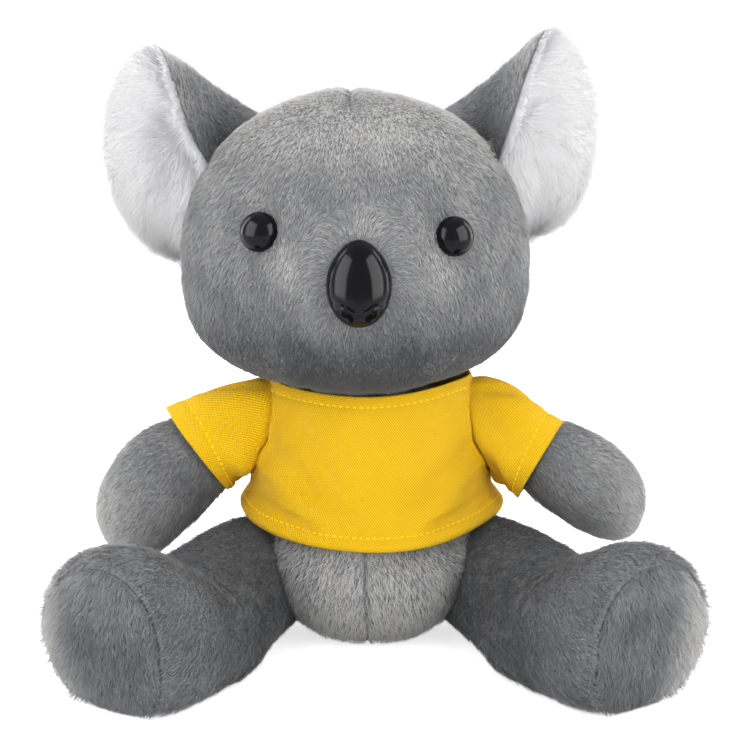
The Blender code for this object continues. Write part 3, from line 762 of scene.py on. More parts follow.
    def shade(self, places: Array, normals: Array) -> Array:
        """Paler above the nose and beside the eyes; painted light makes it paler towards the crown and where the pile
        faces up, and painted shade makes it deeper along the chin.
        """
        x, _, z = places.T
        light = bump(places, self.by_nose(0.013), 0.24, 0.0055)
        light -= 0.45 * bell(self.seam(places), 0.0007) * ease(z, *self.crown_seam)
        for beside in self.by_eyes(0.72, 0.009):
            light += bump(places, beside, 0.24, 0.008)
        # Painted light: paler towards the crown and where the pile faces up.
        crown = 0.22 * ease(z, 0.134, 0.160) + 0.28 * ease(normals[:, 2], 0.55, 0.95)
        band = 0.08 * bell(z - 0.1425 - 0.10 * x, 0.0045) * ease(np.abs(x - self.centre[0]), 0.018, 0.030)
        # Painted shade: deeper towards the chin; also a little deeper towards the right.
        chin = 0.12 * ease(-z, -0.128, -0.104) + 0.52 * ease(-z, -0.108, -0.084) - 0.06 * ease(x, 0.010, 0.030)
        return light + crown + band - chin

    def length(self, places: Array, normals: Array) -> Array:
        """Shorter round the eyes and the nose and over the collar, longer in the neck."""
        short = bump(places, self.by_nose(), 0.35, 0.016)
        for eye in self.by_eyes():
            short += bump(places, eye, 0.20, 0.008)
        aside, z = np.abs(places[:, 0] - self.centre[0]), places[:, 2]
        under = 0.35 * ease(-z, -0.084, -0.079) * (1.0 - ease(aside, 0.010, 0.020))
        under -= 0.50 * ease(-z, -0.096, -0.087) * ease(aside, 0.015, 0.023)
        return 1.0 - short + under

    def build(self) -> None:
        """Makes and dresses the head."""
        skin = cover("head_skin", 96, 64, self.shape, GREY)
        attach(skin, "head")
        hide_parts("head_cover", "head_stuffing")
        coat = Coat(GREY, self.hairs, self.comb, 101, self.weight, self.shade, self.length)
        for piece in coat.grow("head_pile", skin, GREY.hair_material()):
            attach(piece, "head")
        LOG.info("head: skin and pile")
        for side in Side:
            self.build_eye(side)
        self.build_nose()
        for name in ("eye_washer_left", "eye_washer_right", "nose_washer"):
            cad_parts[name].data.materials.clear()
            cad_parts[name].data.materials.append(CLEAR.material())

    def build_eye(self, side: Side) -> None:
        """A domed eye with a low rim, turned to face as the head does there."""
        place, facing = self.surface(*self.eyes[side])
        turn = np.array(Vector(UP).rotation_difference(Vector(facing)).to_matrix())
        eye = ball(f"eye_dome_{side.word}", 64, 40)
        dome = points_of(eye)
        up = dome[:, 2]
        dome[:, 2] = np.where(up > 0.0, self.eye_rim + up * self.eye_dome, up * self.eye_back)
        dome[:, :2] *= self.eye_radius * (1.0 + 0.03 * bell(dome[:, 2:3] - 0.0006, 0.0007))
        reshape(eye, dome @ turn.T + place - facing * self.eye_sink)
        bpy.ops.object.shade_smooth()
        wear(eye, BLACK.material())
        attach(eye, "head")
        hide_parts(f"eye_{side.word}")
        LOG.info("eye %s", side.word)

    def nose_points(self, x: Array, y: Array, z: Array) -> Array:
        """A moulded nose: an egg with a creased foot, two curled nostrils and a notch."""
        wide, tall = self.nose_half
        narrow = 1.0 - 0.20 * np.maximum(z, 0.0) ** 2 + 0.05 * np.maximum(-z, 0.0)
        bow = np.sqrt(np.clip(1.0 - x**2, 1e-6, 1.0))
        off = z / bow + self.nose_foot
        full = circle(off / np.where(off > 0.0, 1.0 + self.nose_foot, 1.0 - self.nose_foot))
        crease = -0.46 - 0.16 * (1.0 - np.minimum(np.abs(x) / 0.45, 1.0)) + 0.10 * np.abs(x)
        press = 0.00050 * bell(z - crease, 0.060) + 0.0005 * ease(-z, 0.50, 0.60)
        for side in Side:
            curl = np.hypot((x - side.value * 0.42) / 0.20, (z + 0.70 + 0.25 * (np.abs(x) - 0.42)) / 0.11)
            press += 0.0004 * bell(curl, 1.0) - 0.00010 * bell(curl - 1.35, 0.30)
        press += 0.0003 * bell(x, 0.07) * ease(-z, 0.70, 0.85)
        out = np.where(y < 0.0, self.nose_dome * bow * full - press, -y * 0.002)
        return points(x * wide * narrow, -out, z * tall)

    def build_nose(self) -> None:
        """Makes the nose on the front of the head."""
        nose = ball("nose_moulding", 128, 96)
        x, y, z = points_of(nose).T
        reshape(nose, self.nose_points(x, -z, y) + self.by_nose() - (0.0, self.nose_sink, 0.0))
        turn_out()
        wear(nose, BLACK.material())
        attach(nose, "head")
        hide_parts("nose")
        LOG.info("nose")


@dataclass
class Ear:
    """One ear: the white lined cup and the grey padded back.

    The rims and roots are rows of shares: out from the root, back by the cup, up the ear.
    """

    side: Side
    head_x: float = -0.0045
    cup: float = 0.0130
    hollow_share: float = 0.70
    bulge_share: float = 0.75
    turn_share: float = 0.55
    pad: float = 0.0032
    ridge: float = 0.0022
    hinge: tuple[float, float, float] = (-0.004, 0.0117, 0.0014)
    hinge_way: tuple[float, float, float] = (0.896, 0.0, 0.444)
    hinge_reach: float = 0.010
    hairs: int = 26000
    roots: dict = both((0.0519, 0.1086), (0.0516, 0.1178))
    reaches: dict = both(0.0246, 0.0222)
    heights: dict = both(0.0680, 0.0640)
    dips: dict = both(0.0018, 0.0028)
    shadows: dict = both(0.60, 0.14)
    rims: dict = both(
        (
            (0.15, 0.20, 0.05), (0.42, 0.00, 0.12), (0.69, -0.10, 0.25), (0.85, -0.05, 0.40), (0.90, 0.05, 0.58),
            (0.84, 0.25, 0.78), (0.64, 0.35, 0.92), (0.38, 0.20, 0.985), (0.13, -0.14, 0.94), (-0.16, -0.43, 0.63),
            (-0.40, -0.22, 0.47),
        ),
        (
            (0.17, 0.20, 0.02), (0.42, 0.00, 0.07), (0.69, -0.10, 0.18), (0.83, -0.05, 0.33), (0.89, 0.05, 0.52),
            (0.84, 0.25, 0.74), (0.63, 0.35, 0.91), (0.36, 0.20, 0.985), (0.10, -0.12, 0.94), (-0.24, -0.43, 0.60),
            (-0.46, -0.18, 0.34),
        ),
    )
    front_roots: dict = both(
        (
            (-0.16, 0.50, 0.030), (-0.16, 0.50, 0.100), (-0.17, 0.50, 0.170), (-0.19, 0.50, 0.240),
            (-0.22, 0.46, 0.300), (-0.26, 0.42, 0.360), (-0.32, 0.34, 0.400), (-0.38, 0.24, 0.430),
            (-0.42, 0.09, 0.450), (-0.44, -0.06, 0.460), (-0.44, -0.14, 0.450),
        ),
        (
            (-0.16, 0.50, 0.030), (-0.16, 0.50, 0.100), (-0.20, 0.50, 0.170), (-0.25, 0.50, 0.240),
            (-0.32, 0.46, 0.300), (-0.42, 0.42, 0.360), (-0.50, 0.34, 0.400), (-0.54, 0.24, 0.420),
            (-0.56, 0.09, 0.420), (-0.56, -0.06, 0.400), (-0.54, -0.14, 0.350),
        ),
    )
    back_roots: dict = both(
        (
            (-0.15, 0.85, 0.030), (-0.16, 0.92, 0.090), (-0.18, 0.98, 0.160), (-0.24, 1.02, 0.260),
            (-0.34, 1.05, 0.370), (-0.55, 1.05, 0.480), (-0.82, 1.00, 0.570), (-1.06, 0.90, 0.620),
            (-1.12, 0.62, 0.620), (-1.02, 0.30, 0.590), (-0.86, 0.10, 0.510),
        ),
        (
            (-0.15, 0.85, 0.030), (-0.16, 0.92, 0.090), (-0.18, 0.98, 0.160), (-0.24, 1.02, 0.260),
            (-0.36, 1.05, 0.370), (-0.62, 1.05, 0.470), (-0.90, 1.00, 0.545), (-1.10, 0.90, 0.575),
            (-1.14, 0.62, 0.570), (-1.02, 0.30, 0.530), (-0.86, 0.05, 0.440),
        ),
    )

    def place(self, shares: tuple) -> Array:
        """Real places of a row of shares."""
        out, deep, up = np.array(shares).T
        root, foot = self.roots[self.side]
        x = self.head_x + self.side.value * (root + self.reaches[self.side] * out)
        return points(x, self.cup * deep, foot + self.heights[self.side] * up)

    def sheet(self, across: Array, along: Array, roots: dict, sink: float) -> Array:
        """A bowed sheet from the rim to a root."""
        rim, root = (curve_through(self.place(row[self.side]), across) for row in (self.rims, roots))
        sheet = rim + (root - rim) * along[:, None]
        sheet[:, 1] += self.cup * sink * 2.0 * along * (1.0 - along)
        return sheet

    def front(self, across: Array, along: Array) -> Array:
        """The white cup, with the soft ridge that runs down its middle."""
        sheet = self.sheet(across, along, self.front_roots, self.hollow_share)
        sheet[:, 1] -= self.ridge * bell(across - 0.62 - 0.10 * along, 0.09) * ease(along, 0.15, 0.7)
        return sheet

    def back(self, across: Array, along: Array) -> Array:
        """The grey back: leaves the rim behind the white and swells to its root."""
        sheet = self.sheet(across, along, self.back_roots, self.bulge_share)
        sheet[:, 2] -= self.dips[self.side] * 4.0 * along * (1.0 - along) * ease(across, 0.42, 0.62)
        away = points(-self.side.value * self.turn_share * across**2, np.ones_like(across), 0.0 * across)
        swell = self.pad * np.sqrt(np.clip(along * 6.0, 0.0, 1.0))
        return sheet + unit(away) * swell[:, None]

    def middle(self) -> Array:
        """The bottom of the cup."""
        return self.front(np.array((0.5,)), np.array((0.62,)))[0]

    def comb_white(self, places: Array, normals: Array) -> Array:
        """The long white pile falls out of the cup towards the rim, and a little down."""
        return 0.5 * unit(places - self.middle()) + (self.side.value * 0.75, -0.3, -0.55)

    def weight_white(self, places: Array, normals: Array) -> Array:
        """No long hair where the lining meets the head."""
        x, y, z = places.T
        root, foot = self.roots[self.side]
        near = (np.abs(x - self.head_x) < root + 0.0005) & (z < foot + 0.25 * self.heights[self.side])
        return np.where(near & (y < 0.004), 0.0, 1.0)

    def shade_white(self, places: Array, normals: Array) -> Array:
        """Painted shade: greyer down in the cup and where it faces outward."""
        deep = gap((places - self.middle()) * (1.0, 0.6, 0.5), 0.0)
        outward = ease(self.side.value * normals[:, 0], 0.15, 0.70)
        # Painted shade: greyer in the hollow of the cup and on the side that faces outward.
        return 0.35 - self.shadows[self.side] * bell(deep, 0.0085) - 0.70 * outward

    def comb_grey(self, places: Array, normals: Array) -> Array:
        """The grey pile runs out to the rim and up."""
        return np.tile((self.side.value * 0.9, 0.0, 0.35), (len(places), 1))

    def shade_grey(self, places: Array, normals: Array) -> Array:
        """Painted shade makes it deeper in the fold beside the head; painted light makes it paler towards the top and
        where the pile faces up.
        """
        # Painted shade: deeper in the fold beside the head.
        inner = 1.0 - ease(np.abs(places[:, 0] - self.head_x), 0.036, 0.056)
        # Painted light: paler towards the top and where the pile faces up.
        lit = ease(places[:, 2], 0.135, 0.165) + ease(normals[:, 2], 0.2, 0.8)
        return 0.22 * lit - 0.10 - 0.34 * inner

    def bend(self, piece: bpy.types.Object) -> None:
        """Bakes a piece's placement into its points."""
        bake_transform(piece)

    def build(self) -> None:
        """Makes and dresses the ear."""
        word, odd = self.side.word, int(self.side.value)
        liner = cover(f"ear_lining_{word}", 72, 40, self.front, WHITE)
        back = cover(f"ear_pad_{word}", 72, 40, self.back, GREY)
        face_out(liner, self.middle() + (0.0, 0.05, 0.0))
        face_out(back, self.middle() - (0.0, 0.05, 0.0))
        white = Coat(WHITE, self.hairs, self.comb_white, 201 + odd, self.weight_white, self.shade_white, clump=0.0019)
        grey = Coat(GREY, self.hairs, self.comb_grey, 231 + odd, shade=self.shade_grey)
        pieces = white.grow(f"ear_lining_pile_{word}", liner, WHITE.hair_material())
        pieces += grey.grow(f"ear_pad_pile_{word}", back, GREY.hair_material())
        for piece in (liner, back, *pieces):
            self.bend(piece)
        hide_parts(f"ear_front_{word}")
        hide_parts(f"ear_back_{word}")
        LOG.info("ear %s", word)


@dataclass
class Body:
    """The body's skin and pile, seen between the legs and above the collar."""

    height: float = 0.0770
    half_width: float = 0.0345
    half_depth: float = 0.0340
    neck: tuple[float, float] = (-0.0025, -0.0010)
    belly: float = 0.0056
    hairs: int = 46000
    profile: tuple = (
        (0.000, 0.00, 0.00), (0.000, 0.34, 0.52), (0.035, 0.53, 0.73), (0.100, 0.72, 0.86), (0.195, 0.880, 0.94),
        (0.310, 0.985, 0.99), (0.440, 1.00, 1.00), (0.570, 0.975, 0.970), (0.700, 0.930, 0.920),
        (0.820, 0.820, 0.820), (0.910, 0.660, 0.660), (0.965, 0.520, 0.520), (1.000, 0.430, 0.430), (1.000, 0.0, 0.0),
    )

    def seam(self, x: Array, z: Array) -> Array:
        """How far places lie aside of the seam down the belly."""
        return x + 0.0012 + 0.03 * (z - 0.02)

    def shape(self, across: Array, along: Array) -> Array:
        """The pear of the body, with its belly and the seam down its front."""
        rise, wide, deep = curve_through(np.array(self.profile), along).T
        rise, turn = np.clip(rise, 0.0, 1.0), across * TAU
        z = self.height * rise
        square = 2.0 / (2.0 + 0.7 * ease(-z, -0.036, -0.026))
        x = self.neck[0] * rise**3 + self.half_width * np.maximum(wide, 0.0) * squared(np.cos(turn), square)
        y = self.neck[1] * rise**3 + self.half_depth * np.maximum(deep, 0.0) * squared(np.sin(turn), square)
        front = ease(-y, 0.010, 0.030)
        bulge = self.belly * bell(z - 0.021, 0.013) * ease(-z, -0.034, -0.026) / (1.0 + (x / 0.033) ** 6)
        slit = 0.0009 * bell(self.seam(x, z), 0.0010) * ease(z, 0.010, 0.014) * ease(-z, -0.034, -0.029)
        return points(x, y + front * (slit - bulge), z)

    def comb(self, places: Array, normals: Array) -> Array:
        """The nap falls, and parts along the front seam."""
        way = np.tile(-UP, (len(places), 1))
        off = self.seam(places[:, 0], places[:, 2])
        way[:, 0] += 0.30 * np.sign(off) * bell(off, 0.005) + 0.25 * np.clip(off / 0.02, -1.0, 1.0)
        return way

    def weight(self, places: Array, normals: Array) -> Array:
        """Only where the shirt doesn't cover it, and little on the seat."""
        z = places[:, 2]
        return np.where((z < 0.043) | (z > 0.0735), 1.0, HIDDEN_SHARE) * np.where(z < 0.0015, 0.15, 1.0)

    def shade(self, places: Array, normals: Array) -> Array:
        """The belly is paler than the sides; painted shade darkens the pile near the top, in the gap between the
        collar and the head.
        """
        x, y, z = places.T
        front = ease(-y, 0.008, 0.030)
        seam = bell(self.seam(x, z), 0.0007) * front * ease(z, 0.009, 0.013)
        # Painted shade: the pile darkens towards the top, in the gap above the collar.
        return 0.58 * front * bell(x, 0.032) - 0.50 * seam - 0.04 - 0.45 * ease(z, 0.066, 0.072)

    def build(self) -> None:
        """Makes and dresses the body."""
        skin = cover("body_skin", 96, 80, self.shape, GREY_LONG)
        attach(skin, "torso")
        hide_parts("body_cover", "body_stuffing")
        coat = Coat(GREY_LONG, self.hairs, self.comb, 301, self.weight, self.shade)
        for piece in coat.grow("body_pile", skin, GREY_LONG.hair_material()):
            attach(piece, "torso")
        LOG.info("body")


@dataclass
class Limb:
    """What arms and legs share: a root on the torso and a way out from it."""

    side: Side
    roots: dict = field(default_factory=dict)
    axes: dict = field(default_factory=dict)

    def __post_init__(self) -> None:
        """Finds the limb's way, a level way across it, and the way up from both."""
        self.root = np.array(self.roots[self.side])
        self.way = unit(np.array(self.axes[self.side]))
        self.level = unit(np.cross(self.way, UP))
        self.upward = np.cross(self.level, self.way)

    def reach(self, places: Array) -> Array:
        """How far along the limb places lie."""
        return (places - self.root) @ self.way

    def bend(self, piece: bpy.types.Object, start: float, end: float) -> None:
        """Bakes a piece's placement into its points."""
        body = f"{type(self).__name__.lower()}_{self.side.word}"
        tuple(self.root + self.way * start)
        tuple(self.root + self.way * end)
        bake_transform(piece)


@dataclass
class Arm(Limb):
    """An arm with its round paw."""

    roots: dict = both((-0.0376, -0.0030, 0.0627), (0.0372, -0.0030, 0.0635))
    axes: dict = both((-0.800, -0.130, -0.585), (0.848, -0.200, -0.487))
    radii: dict = both(0.0136, 0.0117)
    lengths: dict = both(0.0525, 0.0512)
    drops: dict = both(-0.0012, 0.0014)
    covered: dict = both(0.0125, 0.0158)
    outset: float = 0.0012
    seam_reach: float = 0.012
    hairs: int = 35000
    profile: tuple = (
        (-0.10, 0.00, 0.00), (-0.08, 0.45, 0.00), (0.02, 0.64, 0.02), (0.18, 0.74, 0.04), (0.30, 0.84, 0.045),
        (0.48, 0.99, 0.060), (0.64, 1.00, 0.020), (0.78, 0.93, -0.080), (0.89, 0.76, -0.170), (0.96, 0.52, -0.230),
        (0.99, 0.26, -0.260), (1.00, 0.00, -0.270),
    )

    def shape(self, across: Array, along: Array) -> Array:
        """The arm's skin."""
        out, wide, up = curve_through(np.array(self.profile), along).T
        full, turn = self.radii[self.side], across * TAU
        radius = np.maximum((full + self.outset) * wide, 0.0)
        skin = self.root + self.way * ((self.lengths[self.side] + self.outset) * out)[:, None]
        skin[:, 2] -= self.drops[self.side] * bell(out - 0.44, 0.30)
        skin += self.level * (radius * np.cos(turn))[:, None]
        skin += self.upward * (full * up + radius * np.sin(turn))[:, None]
        return skin + unit(skin - self.root) * (0.0003 * ripple(skin, 0.014, 77))[:, None]

    def comb(self, places: Array, normals: Array) -> Array:
        """The nap runs to the paw."""
        return np.tile(self.way + (0.0, -0.1, -0.25), (len(places), 1))

    def weight(self, places: Array, normals: Array) -> Array:
        """Only where the sleeve doesn't cover it."""
        return np.where(self.reach(places) > self.covered[self.side], 1.0, HIDDEN_SHARE)

    def shade(self, places: Array, normals: Array) -> Array:
        """The paw is a little paler, and a painted highlight runs along the arm's upper edge."""
        reach = self.reach(places)
        # Painted highlight: paler along the arm's upper edge.
        outer = ease(places[:, 2] - self.root[2] + 0.4 * reach, 0.002, 0.012)
        return 0.20 * ease(reach, 0.022, 0.036) + 0.20 * ease(reach, 0.034, 0.048) + 0.08 * outer - 0.14

    def build(self) -> None:
        """Makes and dresses the arm."""
        word = self.side.word
        skin = cover(f"arm_skin_{word}", 56, 44, self.shape, GREY)
        coat = Coat(GREY, self.hairs, self.comb, 401 + int(self.side.value), self.weight, self.shade)
        for piece in (skin, *coat.grow(f"arm_pile_{word}", skin, GREY.hair_material())):
            self.bend(piece, 0.0, self.seam_reach)
        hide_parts(f"arm_cover_{word}", f"arm_stuffing_{word}")
        LOG.info("arm %s", word)


@dataclass
class Leg(Limb):
    """A leg that lies on the floor, with its round sole."""

    roots: dict = both((-0.0240, -0.0158, 0.0205), (0.0242, -0.0158, 0.0205))
    axes: dict = both((-0.600, -0.800, 0.0), (0.650, -0.760, 0.0))
    # Painted highlight along each sole's outer edge: where it starts, where it is full, and how pale.
    sole_rim_highlights: dict = both((0.006, 0.022, 0.46), (0.001, 0.019, 0.62))
    depths: dict = both(0.13, 0.19)
    length: float = 0.0820
    foot: float = 0.0234
    power: float = 2.70
    dome: float = 0.0042
    outward: float = 0.0056
    lean: float = 0.235
    back: float = 0.0080
    crease: float = 0.655
    floor_gap: float = 0.0003
    seam_reach: float = 0.016
    hairs: int = 74000
    sole_hairs: int = 15000
    profile: tuple = (
        (-0.14, 0.00, 0.00, 0.90), (-0.12, 0.42, 0.42, 0.90), (-0.04, 0.58, 0.64, 0.84), (0.10, 0.660, 0.710, 0.825),
        (0.235, 0.750, 0.720, 0.800), (0.370, 0.815, 0.705, 0.765), (0.500, 0.860, 0.700, 0.715),
        (0.590, 0.890, 0.710, 0.705), (0.655, 0.920, 0.755, 0.745), (0.740, 0.960, 0.860, 0.840),
        (0.850, 1.050, 0.955, 0.930), (0.920, 1.045, 0.955, 0.930), (0.960, 1.005, 0.930, 0.925),
        (0.988, 0.935, 0.880, 0.910), (1.000, 0.860, 0.820, 0.900), (1.000, 0.0, 0.0, 0.900),
    )

    def section(self, middle: Array, wide: Array, high: Array, turn: Array) -> Array:
        """A ring: round above and pressed flatter below, leaning in at the floor."""
        sway, rise = np.cos(turn), np.sin(turn)
        sway, rise = (np.where(np.sin(turn) < 0.0, squared(part, 2.0 / self.power), part) for part in (sway, rise))
        skin = middle + self.level * (wide * sway)[:, None] + UP * (high * rise)[:, None]
        tilt = self.side.value * self.lean * np.maximum(0.55 * self.foot - skin[:, 2], -0.006)
        skin += self.level * (tilt * ease(wide, 0.014, 0.019))[:, None]
        skin[:, 2] = np.maximum(skin[:, 2], 0.0002)
        return skin

    def shape(self, across: Array, along: Array) -> Array:
        """The leg's skin, out to the seam of its sole."""
        turn = across * TAU
        table = np.maximum(curve_through(np.array(self.profile), along), (-1.0, 0.0, 0.0, 0.0))
        out, wide, high, up = table.T
        inner = self.side.value * np.cos(turn)
        skew = 0.085 * inner * bell(out - 0.60, 0.20)
        aside = self.side.value * self.outward * (1.0 - ease(out, 0.20, 0.72))
        middle = self.root + self.way * (self.length * (out - skew))[:, None] - self.level * aside[:, None]
        middle[:, 1] += self.back * (1.0 - ease(out, 0.05, 0.50))
        middle[:, 2] = self.foot * up - self.floor_gap
        skin = self.section(middle, self.foot * wide, self.foot * high, turn)
        pinch = bell(out - self.crease, 0.026) + 0.5 * bell(out - self.crease + 0.070, 0.022)
        away = ease(inner + 0.5 * np.sin(turn), -0.6, 0.2)
        return skin - unit(skin - middle) * (0.0007 * pinch * away * (out < 0.95))[:, None]

    def sole(self, across: Array, along: Array) -> Array:
        """The sole: a low dome sewn into the leg's end."""
        lift = circle(along * 0.98)
        middle = self.root + self.way * (self.length - 0.0004 + (self.dome + 0.0006) * lift)[:, None]
        middle[:, 2] = self.foot * 0.900 - self.floor_gap
        reach = self.foot * along * 0.845
        return self.section(middle, reach * 1.03, reach * 0.98, across * TAU)

    def aside(self, places: Array) -> Array:
        """How far places lie to the leg's outer side."""
        return (places - self.root) @ self.level * -self.side.value

    def comb(self, places: Array, normals: Array) -> Array:
        """The nap runs to the foot."""
        return np.tile(self.way + (0.0, 0.0, -0.35), (len(places), 1))

    def comb_sole(self, places: Array, normals: Array) -> Array:
        """The sole's nap turns out from its middle."""
        middle = self.root + self.way * self.length
        middle[2] = self.foot * 0.95
        return 0.55 * (places - middle) / self.foot + 0.5 * self.way - 0.60 * UP

    def shade_sole(self, places: Array, normals: Array) -> Array:
        """Painted light: the sole is paler above than below, and a painted highlight runs along its outer edge."""
        low, high, pale = self.sole_rim_highlights[self.side]
        # Painted highlight: paler along the sole's outer edge.
        outer = pale * ease(self.aside(places) + 0.35 * (self.foot - places[:, 2]), low, high)
        # Painted light: paler towards the top.
        return 0.10 * ease(places[:, 2], 0.018, 0.040) + outer - 0.22

    def weight(self, places: Array, normals: Array) -> Array:
        """Little inside the body, under the leg and under the sole."""
        thick = np.where(self.reach(places) < -0.004, 0.03, 1.0) * np.where(places[:, 2] < 0.0012, 0.25, 1.0)
        return thick * np.where(normals @ self.way > 0.9, 0.05, 1.0)

    def shade(self, places: Array, normals: Array) -> Array:
        """The thigh is deeper than the foot; painted shade darkens the crease, and a painted highlight runs along the
        foot's outer side.
        """
        reach = self.reach(places)
        # Painted highlight: paler along the foot's outer side.
        outer = ease(self.side.value * normals[:, 0], 0.55, 0.95) * ease(reach, 0.050, 0.070)
        # Painted shade: a little deeper at the crease.
        deep = 0.30 * (1.0 - ease(reach, 0.036, 0.072)) + 0.08 * bell(reach / self.length - self.crease, 0.03)
        return 0.55 * outer - deep - self.depths[self.side]

    def long_share(self, places: Array, normals: Array) -> Array:
        """Longer on the foot's outer edge."""
        return 1.0 + 0.35 * ease(self.aside(places), 0.006, 0.020) * ease(self.reach(places), 0.050, 0.075)

    def build(self) -> None:
        """Makes and dresses the leg and its sole."""
        word, odd = self.side.word, int(self.side.value)
        skin = cover(f"leg_skin_{word}", 72, 72, self.shape, GREY_LONG)
        sole = cover(f"sole_skin_{word}", 56, 14, self.sole, GREY_LONG)
        face_out(sole, self.root)
        material = GREY_LONG.hair_material()
        coat = Coat(GREY_LONG, self.hairs, self.comb, 501 + odd, self.weight, self.shade, self.long_share)
        tread = Coat(
            GREY_LONG, self.sole_hairs, self.comb_sole, 531 + odd, shade=self.shade_sole, length=self.long_share
        )
        pieces = coat.grow(f"leg_pile_{word}", skin, material) + tread.grow(f"sole_pile_{word}", sole, material)
        for piece in (skin, sole, *pieces):
            self.bend(piece, 0.0, self.seam_reach)
        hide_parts(f"leg_cover_{word}", f"leg_stuffing_{word}")
        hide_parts(f"foot_sole_{word}")
        LOG.info("leg %s", word)


@dataclass
class Shirt:
    """The T-shirt: its body, two sleeves, and the stitches along its edges."""

    half_width: float = 0.0366
    half_depth: float = 0.0358
    top: float = 0.0768
    collar_rise: float = 0.0012
    collar_lift: float = 0.0013
    hem_front: float = 0.0330
    hem_side: float = 0.0372
    hem_width: float = 0.0036
    collar_width: float = 0.0030
    cuff_width: float = 0.0034
    dent: float = 0.00050
    wall: float = 0.0009
    stitch: tuple[float, float, float] = (0.00075, 0.00034, 0.00032)
    stitch_pitch: float = 0.0020
    armhole: tuple[float, float] = (0.0128, 0.0142)
    sleeve_radii: dict = both(0.0155, 0.0136)
    sleeve_lengths: dict = both(0.0157, 0.0180)
    sleeve_lifts: dict = both(0.0031, -0.0023)
    profile: tuple = (
        (0.00, 1.085, 1.085), (0.03, 1.100, 1.100), (0.09, 1.062, 1.062), (0.15, 1.005, 1.012), (0.24, 0.992, 0.998),
        (0.36, 1.000, 0.990), (0.52, 0.975, 0.945), (0.70, 0.930, 0.880), (0.86, 0.880, 0.810), (1.00, 0.830, 0.740),
    )
    drags: tuple = (
        ((0.035, 0.055), (0.014, 0.040), 0.0011), ((0.034, 0.063), (0.018, 0.052), -0.0008),
        ((0.036, 0.048), (0.022, 0.038), -0.0008),
    )

    def girth(self, shares: Array) -> tuple[Array, Array]:
        """The shirt's half width and half depth at shares of its height."""
        steps, wide, deep = np.array(self.profile).T
        return np.interp(shares, steps, wide) * self.half_width, np.interp(shares, steps, deep) * self.half_depth

    def drag(self, x: Array, z: Array) -> Array:
        """The slanting folds between the armholes and the belly, seen from the front."""
        fold = np.zeros_like(x)
        for side in Side:
            for start, end, high in self.drags:
                origin, tip = (np.array((side.value * place[0], place[1])) for place in (start, end))
                flat, way = points(x, z) - origin, tip - origin
                share = np.clip(flat @ way / (way @ way), 0.0, 1.0)[:, None]
                fold += high * bell(gap(flat, share * way), 0.0026)
        return fold

    def shape(self, across: Array, along: Array) -> Array:
        """The shirt's body, its soft folds, and the dents of its stitched edges."""
        turn = across * TAU
        hem = self.hem_side + (self.hem_front - self.hem_side) * np.abs(np.sin(turn)) ** 2.6
        top = self.top + self.collar_rise * np.abs(np.cos(turn)) ** 1.5
        top += self.collar_lift * bell(turn - 1.80 * math.pi, 0.55)
        wide, deep = self.girth(along)
        x, y, z = wide * np.cos(turn), deep * np.sin(turn), hem + (top - hem) * along
        cloth = points(x, y, z)
        fold = 0.0006 * np.sin(5.0 * turn + 0.9) * (1.0 - along) ** 2 + 0.0003 * ripple(cloth, 0.020, 91)
        fold += self.drag(x, z) * (y < 0.0)
        fold -= self.dent * bell((z - hem) / self.hem_width - 1.0, 0.18)
        fold -= self.dent * bell((top - z) / self.collar_width - 1.0, 0.22)
        sag = z - self.hem_front - 0.0070 - 0.22 * x**2 / self.half_width
        fold += 0.0006 * bell(sag, 0.0022) * ease(-y, 0.0, 0.012)
        fold -= 0.0006 * bell(sag - 0.0050, 0.0028) * ease(np.abs(x), 0.008, 0.022)
        for side in Side:
            _, hole_y, hole_z = Arm(side).root
            ring = np.hypot((y - hole_y) / self.armhole[0], (z - hole_z) / self.armhole[1])
            fold += 0.0007 * bell(ring - 1.06, 0.055) * (side.value * x > 0.015) * (z < top - 0.002)
        return cloth + points(np.cos(turn), np.sin(turn), 0.0 * turn) * np.maximum(fold, -0.0010)[:, None]

    def sleeve(self, arm: Arm) -> Shape:
        """The shape of one sleeve.

        Args:
            arm: The arm in it.

        Returns:
            A shape from the armhole to the sleeve's hem.
        """
        side, shoulder = arm.side, arm.root
        length = self.sleeve_lengths[side]

        def shape(across: Array, along: Array) -> Array:
            """The sleeve's points."""
            turn, arch = across * TAU, np.sin(math.pi * along)
            sway, rise = np.cos(turn), np.sin(turn)
            high = np.where(rise > 0.0, self.top + 0.0010 - shoulder[2], self.armhole[1])
            start = shoulder + arm.level * (self.armhole[0] * sway)[:, None] + UP * (high * rise)[:, None]
            share = np.clip((start[:, 2] - self.hem_side) / (self.top - self.hem_side), 0.0, 1.0)
            wide, deep = self.girth(share)
            start[:, 0] = side.value * (wide * circle(start[:, 1] / deep) - 0.0002)
            ring = arm.level * sway[:, None] + arm.upward * rise[:, None]
            end = shoulder + arm.way * length + arm.upward * self.sleeve_lifts[side] + ring * self.sleeve_radii[side]
            swell = np.sin(math.pi * along**0.8) * (0.0013 * np.maximum(rise, 0.0) + 0.0006)
            swell -= 0.0006 * bell(along - 0.03, 0.05)
            swell += 0.0007 * np.sin(along * 9.0 + 2.0 * sway) * bell(rise + 0.6, 0.7) * arch
            swell += 0.0020 * np.sin(turn * 4.0 + 2.2 * along + side.value) * arch * (1.0 - 0.5 * along)
            swell -= 0.0018 * bell(sway * side.value + 0.9 * along - 0.55, 0.12) * arch
            swell -= self.dent * bell((1.0 - along) * length / self.cuff_width - 1.0, 0.20)
            return start + (end - start) * along[:, None] + ring * swell[:, None]

        return shape

